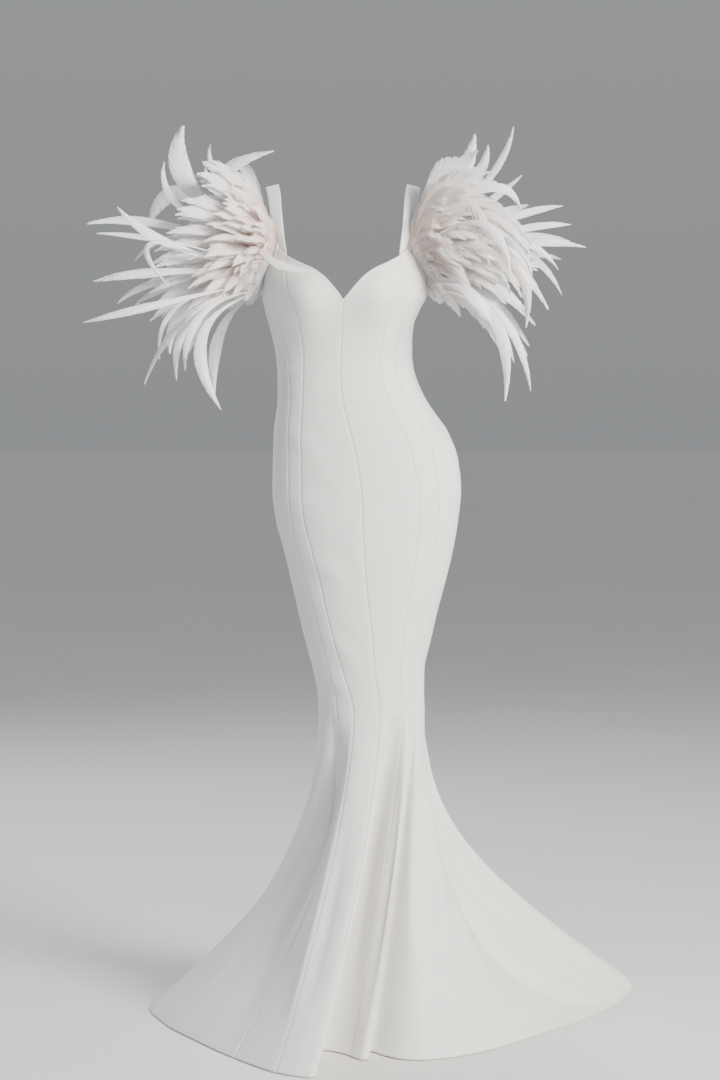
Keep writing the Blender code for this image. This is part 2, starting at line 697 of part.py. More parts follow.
def beside_strap(stations):
    """The stations up one end of the strap, from its lowest free one to the tape's end."""
    kept = []
    run = 0.0
    for before, after in zip(stations, stations[1:]):
        run += (after[0] - before[0]).length
        if TAPE_CORNER < run < TAPE_UP_STRAP:
            kept.append(after)
    return kept


def armhole_route(side):
    """Tape stations, each a point and the way out of the cloth, front strap to back strap."""
    strap = strap_tape_run(side)
    away = TAPE_CLEARANCE + TAPE_WIDTH / 2.0
    route = beside_strap(strap)[::-1]
    first = INNER_FRONT + 1.0 + TAPE_CORNER_GIRTH
    last = INNER_BACK - TAPE_CORNER_GIRTH
    for step in range(EDGE_STATIONS + 1):
        point, beyond, normal = top_edge(on_side(mix(first, last, step / EDGE_STATIONS), side))
        route.append((point + beyond * away - normal * CLOTH / 2.0, beyond))
    return route + beside_strap(strap[::-1])


class Tape:
    """Narrow tape along an armhole, with places on it for the feathers."""

    def __init__(self, side):
        """Space stations evenly along the armhole's route."""
        route = armhole_route(side)
        dense = curve_through([point for point, _ in route], TAPE_STEPS)
        runs = [0.0]
        for before, after in zip(dense, dense[1:]):
            runs.append(runs[-1] + (after - before).length)
        self.side = side
        self.points = []
        self.beyonds = []
        for step in range(SEATS + 1):
            run = runs[-1] * step / SEATS
            found = min(max(bisect_right(runs, run) - 1, 0), len(dense) - 2)
            part = (run - runs[found]) / (runs[found + 1] - runs[found])
            self.points.append(dense[found].lerp(dense[found + 1], part))
            between = (found + part) / TAPE_STEPS
            station = min(int(between), len(route) - 2)
            beyond = route[station][1].lerp(route[station + 1][1], between - station)
            self.beyonds.append(beyond.normalized())

    def seat(self, number):
        """Middle of a seat on the tape's outer side, and its axes: along, wide and out."""
        start, end = self.points[number], self.points[number + 1]
        along = (end - start).normalized()
        wide = self.beyonds[number] + self.beyonds[number + 1]
        wide = (wide - along * wide.dot(along)).normalized()
        out = along.cross(wide) * self.side
        return (start + end) / 2.0 + out * TAPE_THICKNESS / 2.0, along, wide, out

    def rings(self):
        """Corners of the tape at each end of each seat, the two outer ones first."""
        rings = []
        for station, (point, beyond) in enumerate(zip(self.points, self.beyonds)):
            before = self.points[max(station - 1, 0)]
            after = self.points[min(station + 1, SEATS)]
            along = (after - before).normalized()
            wide = (beyond - along * beyond.dot(along)).normalized()
            out = along.cross(wide) * self.side
            rings.append([
                point + wide * TAPE_WIDTH * across + out * TAPE_THICKNESS * deep
                for across, deep in ((-0.5, 0.5), (0.5, 0.5), (0.5, -0.5), (-0.5, -0.5))
            ])
        return rings


def between(ring, following):
    """Triangles between two rings of four, both flat sides split along the same line."""
    triangles = []
    for corner in range(4):
        ahead = (corner + 1) % 4
        quad = (ring[corner], ring[ahead], following[ahead], following[corner])
        if corner >= 2:
            quad = quad[1:] + quad[:1]
        triangles += [quad[:3], (quad[0], quad[2], quad[3])]
    return triangles


class Blade:
    """One feather as a flat, four-sided blade from a seat on the tape to its tip."""

    def __init__(self, seat, bend, tip, width):
        """Keep the seat, the point that the shaft passes half way, the tip and the width."""
        self.seat = seat
        self.bend = bend
        self.tip = tip
        self.width = width
        lean = seat[3] * 2.0 + (bend - seat[0]).normalized()
        self.foot = seat[0] + lean.normalized() * STEM_LENGTH

    def shaft(self, part):
        """Point along the shaft, which passes through the bend half way."""
        steer = self.bend * 2.0 - (self.foot + self.tip) / 2.0
        rest = 1.0 - part
        return self.foot * rest * rest + steer * (2.0 * part * rest) + self.tip * part * part

    def moved(self, shift):
        """The same feather with its bend and its tip moved."""
        return Blade(self.seat, self.bend + shift, self.tip + shift, self.width)

    def facing(self, part):
        """Direction across the blade, so that its flat side is turned to the front."""
        along = self.shaft(part + SHAFT_REACH) - self.shaft(part - SHAFT_REACH)
        along.normalize()
        across = along.cross(BLADE_FACING)
        return along, across.normalized()

    def root_axes(self):
        """Axes of the stem: those of the seat that turn least from the blade's own."""
        _, along, wide, out = self.seat
        wanted = self.facing(BLADE_STATIONS[0][0])[1]
        across = max((along, -along, wide, -wide), key=wanted.dot)
        return across, across.cross(out)

    def rings(self):
        """Rings of four corners from the top of the stem to the tip."""
        across, over = self.root_axes()
        half = STEM_SIZE / 2.0
        rings = [self.ring(self.foot, across * half, over * half)]
        for part, share in BLADE_STATIONS:
            along, faced = self.facing(part)
            if faced.dot(across) < 0.0:
                faced = -faced
            across = faced
            half = self.width * share / 2.0
            thick = BLADE_THICKNESS * mix(1.0, TIP_THINNING, part) / 2.0
            rings.append(self.ring(self.shaft(part), across * half, across.cross(along) * thick))
        return rings

    def ring(self, middle, across, over):
        """Four corners round a point of the blade."""
        return [middle + across * side + over * face for side, face in CORNERS]

    def foot_order(self, corners):
        """The root's corners in the order of the blade's rings."""
        across, over = self.root_axes()
        return [
            max(corners, key=lambda corner: (corner - self.seat[0]).dot(across * side + over * face))
            for side, face in CORNERS
        ]

    def grow(self, mesh, root):
        """Grow the blade in a bmesh out of the four vertices of its root."""
        order = self.foot_order([vert.co for vert in root])
        ring = [next(vert for vert in root if vert.co == corner) for corner in order]
        for corners in self.rings():
            following = [mesh.verts.new(corner) for corner in corners]
            for triangle in between(ring, following):
                mesh.faces.new(triangle)
            ring = following
        mesh.faces.new(ring)

    def tree(self, root):
        """Search tree of the blade over its root, or nothing if the blade crosses itself."""
        middle = self.seat[0]
        corners = [middle.lerp(corner, ROOT_SHARE) for corner in self.foot_order(root)]
        points = corners + [corner for ring in self.rings() for corner in ring]
        faces = []
        for first in range(0, len(points) - 4, 4):
            faces += between(range(first, first + 4), range(first + 4, first + 8))
        found = BVHTree.FromPolygons(points, faces, all_triangles=True)
        for one, other in found.overlap(found):
            if not set(faces[one]) & set(faces[other]):
                return None
        return found


def long_blades(tape, feathers):
    """Blades of the hand-placed feathers, seated on the tape in the order they point."""
    side = tape.side

    def fall(feather):
        out = feather.bend_out - ARMHOLE_MIDDLE[0]
        rise = feather.bend_height - ARMHOLE_MIDDLE[1]
        return -rise / hypot(out, rise) if out > 0.0 else -1.0

    return [
        Blade(
            tape.seat(number),
            place(side * feather.bend_out, feather.bend_forward, feather.bend_height),
            place(side * feather.tip_out, feather.tip_forward, feather.tip_height),
            feather.width,
        )
        for number, feather in enumerate(sorted(feathers, key=fall))
    ]


def fan_blades(tape, first):
    """Blades of the back fan, on the seats from a first one to the tape's back end."""
    blades = []
    for number in range(first, SEATS):
        part = (number - first) / (SEATS - 1 - first)
        seat = tape.seat(number)
        rise = radians(mix(BACK_FAN.rise_from, BACK_FAN.rise_to, part))
        behind = radians(mix(BACK_FAN.behind_from, BACK_FAN.behind_to, part))
        vary = BACK_FAN.variety * cos(radians(number * BACK_FAN.turn))
        length = BACK_FAN.length * (1.0 + vary)
        aim = Vector((
            tape.side * cos(rise) * cos(behind),
            cos(rise) * sin(behind),
            sin(rise),
        ))
        droop = Vector((0.0, 0.0, -BACK_FAN.droop))
        bend = seat[0] + aim * length / 2.0 - droop
        blades.append(Blade(seat, bend, seat[0] + aim * length + droop, BACK_FAN.width))
    return blades


def cleared(blades, roots, solids):
    """The blades that fit, each moved forward or back until it touches nothing else."""
    placed = {}
    view = bpy.context.evaluated_depsgraph_get()
    trees = [BVHTree.FromObject(solid, view) for solid in solids]
    for number, blade in enumerate(blades):
        for attempt in range(CLEARING_TRIES):
            away = (attempt + 1) // 2 * (1 if attempt % 2 else -1)
            tried = blade.moved(Vector((0.0, -away * CLEARING_STEP, 0.0)))
            tree = tried.tree(roots[number])
            if tree and not any(tree.overlap(other) for other in trees):
                placed[number] = tried
                trees.append(tree)
                break
    return placed


def make_trim(name, side, feathers, solids):
    """Feather trim of one armhole: a tape with every feather growing out of a seat on it."""
    tape = Tape(side)
    rings = tape.rings()
    roots = [start[:2] + end[:2] for start, end in zip(rings, rings[1:])]
    blades = long_blades(tape, feathers)
    blades += fan_blades(tape, len(blades))
    placed = cleared(blades, roots, solids)
    mesh = bmesh.new()
    rings = [[mesh.verts.new(corner) for corner in ring] for ring in rings]
    for number, (ring, following) in enumerate(zip(rings, rings[1:])):
        for corner in range(4):
            ahead = (corner + 1) % 4
            face = (ring[corner], ring[ahead], following[ahead], following[corner])
            if corner == 0 and number in placed:
                placed[number].grow(mesh, face)
            else:
                mesh.faces.new(face)
    mesh.faces.new(rings[0][::-1])
    mesh.faces.new(rings[-1])
    bmesh.ops.recalc_face_normals(mesh, faces=mesh.faces)
    bmesh.ops.triangulate(mesh, faces=mesh.faces)
    return add_object(name, mesh, WHITE_FEATHER)


def main():
    """Build the gown piece by piece."""
    clear_scene()
    solids = [make_gore(index, gore) for index, gore in enumerate(GORES)]
    solids.append(make_strap("strap_left", 1.0))
    solids.append(make_strap("strap_right", -1.0))
    bpy.context.view_layer.update()
    make_trim("feather_trim_left", 1.0, LEFT_FEATHERS, solids)
    make_trim("feather_trim_right", -1.0, RIGHT_FEATHERS, solids)


main()
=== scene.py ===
"""Looks of a mermaid gown: crepe gores, straps and feather trims, with light and camera.

Metres, +Z up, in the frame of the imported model: the front faces -Y and +X is the gown's
left. The tables give heights above the floor and distances forward of the side seams, and
`GownForm.place` takes them to this frame. Angles run round the body in degrees from the
centre front, positive towards the gown's left.
"""

import logging
import math
import random
from bisect import bisect_right
from dataclasses import dataclass, field
from enum import Enum
from typing import NamedTuple, Sequence

import bmesh
import bpy
import numpy as np
from mathutils import Matrix, Vector

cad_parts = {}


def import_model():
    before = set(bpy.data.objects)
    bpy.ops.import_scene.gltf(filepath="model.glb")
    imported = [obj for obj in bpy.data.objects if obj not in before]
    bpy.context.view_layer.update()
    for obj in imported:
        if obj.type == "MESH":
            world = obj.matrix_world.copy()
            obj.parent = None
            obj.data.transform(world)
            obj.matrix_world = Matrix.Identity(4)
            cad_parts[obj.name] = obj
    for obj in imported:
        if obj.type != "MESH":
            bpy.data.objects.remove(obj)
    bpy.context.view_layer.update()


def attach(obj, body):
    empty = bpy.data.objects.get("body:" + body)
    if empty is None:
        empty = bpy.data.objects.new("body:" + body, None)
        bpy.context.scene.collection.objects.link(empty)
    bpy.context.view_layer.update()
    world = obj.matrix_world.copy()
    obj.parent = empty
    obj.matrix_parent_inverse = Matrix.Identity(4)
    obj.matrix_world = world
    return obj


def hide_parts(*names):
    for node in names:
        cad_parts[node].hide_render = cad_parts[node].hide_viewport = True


LOG = logging.getLogger("gown")
MM = 0.001
FULL_TURN = 360.0


class Section(NamedTuple):
    """Half section of the body: reach to each side, in front and behind, in metres."""

    height: float
    right: float
    left: float
    front: float
    back: float


class SeamRow(NamedTuple):
    """Angles of the seams round the body at one height, in degrees."""

    height: float
    centre_front: float
    princess_right: float
    princess_left: float
    side_front_right: float
    side_front_left: float
    side_back: float
    back_princess: float


class EdgeRow(NamedTuple):
    """Height of the top edge at one angle."""

    angle: float
    height: float


class HemRow(NamedTuple):
    """One line of the flare: its hem point, tuck, hang, lie and dent."""

    angle: float
    across: float
    forward: float
    tuck_across: float
    tuck_forward: float
    late: float
    lie: float
    dent: float


class StrapRow(NamedTuple):
    """One station of a strap's middle line and how its width lies."""

    out: float
    forward: float
    height: float
    yaw: float
    drop: float


class Feather(NamedTuple):
    """A long feather: a point half way along it, its tip and its greatest width."""

    bend_out: float
    bend_height: float
    bend_forward: float
    tip_out: float
    tip_height: float
    tip_forward: float
    width: float
    blush: float = 0.0


class Crease(NamedTuple):
    """A soft ridge (depth above 0) or trough, from one angle and level to another."""

    angle: float
    level: float
    angle_end: float
    level_end: float
    width: float
    depth: float
    bow: float


class Vane(Enum):
    """How a feather's barbs hold together, with the name of the pieces made of it."""

    COQUE = "coque_feathers"
    HACKLE = "hackle_feathers"
    WISP = "down_wisps"


class Fan(NamedTuple):
    """How the plain long feathers behind an armhole spread, in degrees and metres."""

    rise_from: float
    rise_to: float
    behind_from: float
    behind_to: float
    length: float
    variety: float
    turn: float
    width: float
    droop: float


class Spray(NamedTuple):
    """Shorter feathers along a stretch of the trim, with the ways that they point."""

    vane: Vane
    seat_from: float
    seat_to: float
    count: int
    rise_from: float
    rise_to: float
    behind_from: float
    behind_to: float
    length: float
    width: float
    droop: float
    blush: float
    shade: float


SECTIONS = (
    Section(1.460, -0.140, 0.140, 0.085, 0.085),
    Section(1.430, -0.148, 0.150, 0.100, 0.092),
    Section(1.395, -0.152, 0.157, 0.112, 0.095),
    Section(1.365, -0.151, 0.156, 0.116, 0.094),
    Section(1.340, -0.146, 0.144, 0.112, 0.092),
    Section(1.312, -0.1386, 0.1325, 0.104, 0.088),
    Section(1.284, -0.131, 0.1295, 0.097, 0.084),
    Section(1.256, -0.1255, 0.1295, 0.091, 0.080),
    Section(1.2275, -0.1227, 0.133, 0.088, 0.078),
    Section(1.199, -0.122, 0.1425, 0.089, 0.082),
    Section(1.171, -0.122, 0.156, 0.092, 0.090),
    Section(1.143, -0.1255, 0.175, 0.095, 0.100),
    Section(1.115, -0.129, 0.195, 0.098, 0.110),
    Section(1.059, -0.131, 0.2158, 0.103, 0.127),
    Section(1.0025, -0.132, 0.2214, 0.106, 0.135),
    Section(0.946, -0.1255, 0.2158, 0.107, 0.132),
    Section(0.890, -0.1105, 0.2064, 0.106, 0.123),
    Section(0.834, -0.0974, 0.193, 0.103, 0.110),
    Section(0.7775, -0.0843, 0.178, 0.100, 0.096),
    Section(0.721, -0.0711, 0.165, 0.096, 0.084),
    Section(0.665, -0.0561, 0.153, 0.092, 0.073),
    Section(0.620, -0.0475, 0.1525, 0.089, 0.066),
    Section(0.590, -0.0458, 0.1539, 0.088, 0.062),
)
SEAMS = (
    SeamRow(1.460, 0.0, -45.0, 45.0, -56.0, 56.0, 126.0, 138.0),
    SeamRow(1.430, 0.0, -45.0, 45.0, -56.0, 56.0, 126.0, 138.0),
    SeamRow(1.368, 0.5, -42.0, 41.0, -58.0, 57.0, 126.0, 140.0),
    SeamRow(1.312, 1.0, -35.0, 38.0, -57.0, 55.0, 127.0, 143.0),
    SeamRow(1.256, -2.5, -36.0, 32.0, -55.0, 49.0, 128.0, 146.0),
    SeamRow(1.199, -6.0, -39.5, 29.0, -55.0, 46.0, 129.0, 147.0),
    SeamRow(1.143, -7.5, -42.5, 28.5, -56.0, 46.0, 130.0, 147.0),
    SeamRow(1.059, -5.5, -43.7, 30.0, -55.4, 47.0, 130.0, 146.0),
    SeamRow(0.974, -3.0, -43.5, 34.0, -55.0, 50.0, 130.0, 146.0),
    SeamRow(0.890, -3.0, -41.5, 33.5, -56.0, 50.0, 130.0, 146.0),
    SeamRow(0.834, -2.0, -38.5, 33.0, -54.0, 50.0, 130.0, 147.0),
    SeamRow(0.7775, 1.0, -36.0, 32.5, -50.0, 49.0, 131.0, 148.0),
    SeamRow(0.721, 4.0, -32.0, 33.0, -47.0, 49.0, 131.0, 149.0),
    SeamRow(0.665, 6.0, -27.5, 33.5, -45.0, 50.0, 132.0, 150.0),
    SeamRow(0.602, 7.9, -20.4, 34.9, -40.8, 51.9, 132.0, 150.0),
    SeamRow(0.590, 8.0, -20.0, 35.0, -40.5, 52.0, 132.0, 150.0),
)
NECKLINE = (
    EdgeRow(0.0, 1.352),
    EdgeRow(6.0, 1.373),
    EdgeRow(13.5, 1.395),
    EdgeRow(21.0, 1.409),
    EdgeRow(30.0, 1.4195),
    EdgeRow(38.0, 1.428),
    EdgeRow(45.0, 1.436),
)
ARMHOLE = (
    EdgeRow(56.0, 1.450),
    EdgeRow(61.0, 1.432),
    EdgeRow(68.0, 1.410),
    EdgeRow(78.0, 1.390),
    EdgeRow(90.0, 1.372),
    EdgeRow(105.0, 1.372),
    EdgeRow(118.0, 1.385),
    EdgeRow(126.0, 1.402),
)
BACK_NECKLINE = (
    EdgeRow(138.0, 1.400),
    EdgeRow(150.0, 1.372),
    EdgeRow(165.0, 1.352),
    EdgeRow(180.0, 1.346),
)
HEM = (
    HemRow(-168.0, -0.110, -0.800, 0.0, 0.0, 2.1, 0.60, 0.000),
    HemRow(-155.0, -0.210, -0.700, 0.0, 0.0, 2.1, 0.60, 0.016),
    HemRow(-140.0, -0.275, -0.560, 0.0, 0.0, 2.1, 0.60, -0.016),
    HemRow(-125.0, -0.320, -0.400, 0.0, 0.0, 2.2, 0.75, 0.014),
    HemRow(-108.0, -0.344, -0.270, 0.0, 0.0, 2.4, 0.95, -0.010),
    HemRow(-90.0, -0.374, -0.100, 0.0, 0.0, 2.4, 1.10, 0.000),
    HemRow(-70.0, -0.335, 0.040, 0.0, 0.0, 2.4, 1.10, 0.000),
    HemRow(-55.0, -0.262, 0.175, 0.0, 0.0, 2.3, 1.10, -0.016),
    HemRow(-48.0, -0.226, 0.235, 0.0, 0.0, 2.2, 1.10, -0.030),
    HemRow(-40.0, -0.190, 0.290, 0.0, 0.0, 2.0, 1.10, -0.022),
    HemRow(-30.0, -0.150, 0.345, 0.0, 0.0, 1.8, 1.05, -0.008),
    HemRow(-20.0, -0.115, 0.385, 0.0, 0.0, 1.6, 1.00, 0.000),
    HemRow(-5.0, -0.075, 0.410, 0.0, 0.0, 1.5, 1.00, 0.000),
    HemRow(8.0, -0.052, 0.417, 0.0, 0.0, 1.5, 1.00, 0.000),
    HemRow(13.0, -0.045, 0.410, 0.0, 0.0, 1.5, 1.00, 0.000),
    HemRow(16.5, -0.030, 0.390, -0.028, -0.020, 1.5, 1.00, 0.000),
    HemRow(20.0, -0.010, 0.365, -0.078, -0.065, 1.5, 1.00, 0.000),
    HemRow(24.0, 0.005, 0.340, -0.085, -0.095, 1.5, 1.00, 0.000),
    HemRow(28.0, 0.015, 0.330, -0.055, -0.095, 1.5, 1.00, 0.000),
    HemRow(35.0, 0.020, 0.315, -0.005, -0.040, 1.5, 1.00, 0.000),
    HemRow(42.0, 0.035, 0.305, 0.000, -0.005, 1.5, 1.00, 0.000),
    HemRow(46.5, 0.046, 0.297, 0.000, 0.000, 1.5, 1.00, 0.000),
    HemRow(48.5, 0.050, 0.295, -0.004, -0.025, 1.5, 1.00, 0.000),
    HemRow(50.5, 0.055, 0.290, -0.014, -0.048, 1.5, 1.00, 0.000),
    HemRow(53.0, 0.063, 0.290, -0.012, -0.048, 1.5, 1.00, 0.000),
    HemRow(56.0, 0.081, 0.297, -0.005, -0.024, 1.5, 1.00, 0.000),
    HemRow(59.0, 0.106, 0.302, 0.000, -0.006, 1.55, 1.00, 0.000),
    HemRow(62.0, 0.136, 0.302, 0.0, 0.0, 1.6, 1.00, 0.000),
    HemRow(66.0, 0.178, 0.291, 0.0, 0.0, 1.7, 0.97, 0.000),
    HemRow(70.0, 0.228, 0.262, 0.0, 0.0, 1.75, 0.95, 0.000),
    HemRow(74.0, 0.283, 0.212, 0.0, 0.0, 1.8, 0.92, 0.000),
    HemRow(80.0, 0.370, 0.105, 0.0, 0.0, 2.0, 0.80, 0.000),
    HemRow(90.0, 0.488, -0.055, 0.0, 0.0, 2.3, 0.60, -0.030),
    HemRow(100.0, 0.550, -0.170, 0.0, 0.0, 2.4, 0.90, -0.020),
    HemRow(110.0, 0.578, -0.280, 0.0, 0.0, 2.5, 1.25, 0.020),
    HemRow(122.0, 0.565, -0.420, 0.0, 0.0, 2.3, 0.90, -0.014),
    HemRow(138.0, 0.480, -0.580, 0.0, 0.0, 2.1, 0.60, 0.014),
    HemRow(155.0, 0.330, -0.730, 0.0, 0.0, 2.1, 0.60, -0.016),
    HemRow(168.0, 0.170, -0.810, 0.0, 0.0, 2.1, 0.60, 0.012),
    HemRow(180.0, 0.020, -0.840, 0.0, 0.0, 2.1, 0.60, -0.012),
)
STRAP = (
    StrapRow(0.121, 0.060, 1.490, -30.0, -10.0),
    StrapRow(0.127, 0.033, 1.546, -16.0, 6.0),
    StrapRow(0.132, -0.003, 1.5705, 0.0, 14.0),
    StrapRow(0.131, -0.036, 1.558, 14.0, 10.0),
    StrapRow(0.126, -0.068, 1.510, 26.0, 2.0),
    StrapRow(0.120, -0.080, 1.450, 34.0, 0.0),
)
RIGHT_FEATHERS = (
    Feather(0.280, 1.561, 0.04, 0.292, 1.677, 0.06, 0.034),
    Feather(0.292, 1.518, 0.05, 0.328, 1.612, 0.05, 0.012),
    Feather(0.222, 1.566, 0.08, 0.120, 1.625, 0.10, 0.025),
    Feather(0.227, 1.574, 0.00, 0.246, 1.649, 0.00, 0.009),
    Feather(0.227, 1.556, 0.00, 0.257, 1.604, 0.00, 0.009),
    Feather(0.329, 1.494, 0.05, 0.475, 1.495, 0.05, 0.017),
    Feather(0.306, 1.449, 0.12, 0.409, 1.520, 0.14, 0.016),
    Feather(0.336, 1.452, 0.17, 0.306, 1.366, 0.17, 0.010),
    Feather(0.329, 1.463, 0.06, 0.456, 1.477, 0.06, 0.010),
    Feather(0.296, 1.475, 0.00, 0.390, 1.428, 0.00, 0.012),
    Feather(0.325, 1.404, 0.10, 0.458, 1.386, 0.10, 0.018),
    Feather(0.323, 1.395, 0.02, 0.421, 1.348, 0.02, 0.012),
    Feather(0.306, 1.388, -0.02, 0.391, 1.348, -0.02, 0.012),
    Feather(0.321, 1.344, 0.15, 0.472, 1.308, 0.15, 0.014),
    Feather(0.278, 1.325, 0.12, 0.363, 1.193, 0.12, 0.012),
    Feather(0.270, 1.317, 0.16, 0.298, 1.199, 0.16, 0.014),
    Feather(0.251, 1.321, 0.19, 0.281, 1.216, 0.19, 0.014),
    Feather(0.299, 1.345, 0.08, 0.335, 1.239, 0.08, 0.008),
    Feather(0.283, 1.346, 0.05, 0.320, 1.252, 0.05, 0.022),
    Feather(0.249, 1.284, 0.20, 0.212, 1.146, 0.22, 0.020),
    Feather(0.229, 1.304, -0.03, 0.241, 1.178, -0.03, 0.020),
    Feather(0.132, 1.425, 0.13, 0.045, 1.400, 0.15, 0.016),
    Feather(0.190, 1.543, -0.05, 0.219, 1.594, -0.05, 0.020),
    Feather(0.293, 1.564, -0.08, 0.369, 1.501, -0.08, 0.030),
)
LEFT_FEATHERS = (
    Feather(0.209, 1.565, 0.03, 0.245, 1.665, 0.03, 0.025),
    Feather(0.235, 1.565, 0.00, 0.270, 1.648, 0.00, 0.018),
    Feather(0.260, 1.568, 0.02, 0.317, 1.681, 0.02, 0.013),
    Feather(0.248, 1.524, 0.00, 0.336, 1.592, 0.00, 0.012),
    Feather(0.260, 1.559, 0.05, 0.330, 1.519, 0.05, 0.016),
    Feather(0.292, 1.502, 0.04, 0.410, 1.530, 0.04, 0.014),
    Feather(0.258, 1.506, -0.02, 0.349, 1.538, -0.02, 0.018),
    Feather(0.308, 1.479, 0.08, 0.421, 1.491, 0.08, 0.013),
    Feather(0.303, 1.470, 0.02, 0.426, 1.465, 0.02, 0.018),
    Feather(0.310, 1.457, 0.05, 0.453, 1.451, 0.05, 0.014),
    Feather(0.305, 1.444, -0.02, 0.412, 1.434, -0.02, 0.013),
    Feather(0.297, 1.462, 0.10, 0.396, 1.404, 0.10, 0.012),
    Feather(0.313, 1.453, 0.00, 0.412, 1.362, 0.00, 0.014),
    Feather(0.284, 1.461, 0.12, 0.345, 1.387, 0.12, 0.012),
    Feather(0.249, 1.486, 0.16, 0.304, 1.384, 0.16, 0.014),
    Feather(0.306, 1.426, 0.06, 0.337, 1.298, 0.06, 0.020, 0.85),
    Feather(0.283, 1.331, 0.10, 0.346, 1.179, 0.10, 0.014),
    Feather(0.272, 1.314, 0.14, 0.294, 1.161, 0.14, 0.018),
    Feather(0.253, 1.354, 0.08, 0.317, 1.234, 0.08, 0.018),
    Feather(0.233, 1.367, 0.12, 0.297, 1.261, 0.12, 0.018),
    Feather(0.217, 1.368, 0.16, 0.276, 1.296, 0.16, 0.018),
)
BACK_FAN = Fan(-26.0, 66.0, 28.0, 40.0, 0.225, 0.18, 128.0, 0.022, 0.035)

# Sprays of shorter feathers on each trim: the warm hackles in the middle of it, cool ones
# behind, lashes beside the strap, a brush at the underarm and down over the tape.
RIGHT_SPRAYS = (
    Spray(Vane.HACKLE, 2.0, 16.0, 40, 56.0, -16.0, -26.0, -4.0, 0.195, 0.024, 0.018, 0.35, 0.10),
    Spray(Vane.HACKLE, 3.0, 15.0, 44, 54.0, -22.0, -44.0, -24.0, 0.140, 0.019, 0.012, 0.90, 0.05),
    Spray(Vane.HACKLE, 4.0, 14.0, 30, 44.0, -26.0, -58.0, -40.0, 0.095, 0.016, 0.010, 1.00, 0.05),
    Spray(Vane.HACKLE, 2.0, 22.0, 40, 58.0, -24.0, 0.0, 14.0, 0.190, 0.024, 0.020, 0.10, 0.45),
    Spray(Vane.HACKLE, 20.0, 39.0, 60, -24.0, 64.0, 18.0, 44.0, 0.165, 0.024, 0.022, 0.20, 0.25),
    Spray(Vane.HACKLE, 22.0, 39.0, 40, -20.0, 60.0, 40.0, 62.0, 0.110, 0.019, 0.014, 0.55, 0.15),
    Spray(Vane.WISP, 0.5, 6.0, 34, 66.0, 44.0, -30.0, -10.0, 0.050, 0.013, 0.004, 0.25, 0.70),
    Spray(Vane.WISP, 8.0, 17.0, 60, -20.0, -66.0, -44.0, -10.0, 0.032, 0.012, 0.004, 0.15, 0.85),
    Spray(Vane.WISP, 1.0, 18.0, 60, 54.0, -36.0, -62.0, -34.0, 0.042, 0.020, 0.004, 0.70, 0.20),
    Spray(Vane.WISP, 19.0, 40.0, 60, -44.0, 60.0, 30.0, 60.0, 0.038, 0.018, 0.004, 0.30, 0.20),
)
LEFT_SPRAYS = (
    Spray(Vane.HACKLE, 0.5, 14.0, 48, 60.0, -2.0, -22.0, -2.0, 0.195, 0.026, 0.018, 0.30, 0.05),
    Spray(Vane.HACKLE, 2.0, 14.0, 50, 56.0, -6.0, -42.0, -22.0, 0.150, 0.022, 0.018, 0.90, 0.00),
    Spray(Vane.HACKLE, 3.0, 14.0, 34, 48.0, -10.0, -56.0, -38.0, 0.105, 0.019, 0.014, 1.00, 0.00),
    Spray(Vane.HACKLE, 8.0, 15.0, 16, 26.0, 2.0, -30.0, -12.0, 0.215, 0.024, 0.060, 0.45, 0.05),
    Spray(Vane.HACKLE, 1.0, 22.0, 42, 62.0, -16.0, 0.0, 14.0, 0.190, 0.025, 0.022, 0.10, 0.35),
    Spray(Vane.HACKLE, 20.0, 39.0, 60, -24.0, 64.0, 18.0, 44.0, 0.165, 0.024, 0.022, 0.20, 0.25),
    Spray(Vane.HACKLE, 22.0, 39.0, 40, -20.0, 60.0, 40.0, 62.0, 0.110, 0.019, 0.014, 0.55, 0.15),
    Spray(Vane.HACKLE, 0.0, 6.0, 22, 74.0, 58.0, -18.0, -6.0, 0.066, 0.010, 0.000, 0.10, 0.15),
    Spray(Vane.WISP, 8.0, 18.0, 70, -4.0, -52.0, -44.0, -10.0, 0.034, 0.013, 0.004, 0.10, 0.50),
    Spray(Vane.WISP, 0.5, 18.0, 66, 60.0, -30.0, -60.0, -30.0, 0.044, 0.020, 0.004, 0.60, 0.05),
    Spray(Vane.WISP, 19.0, 40.0, 60, -44.0, 60.0, 30.0, 60.0, 0.038, 0.018, 0.004, 0.30, 0.20),
)

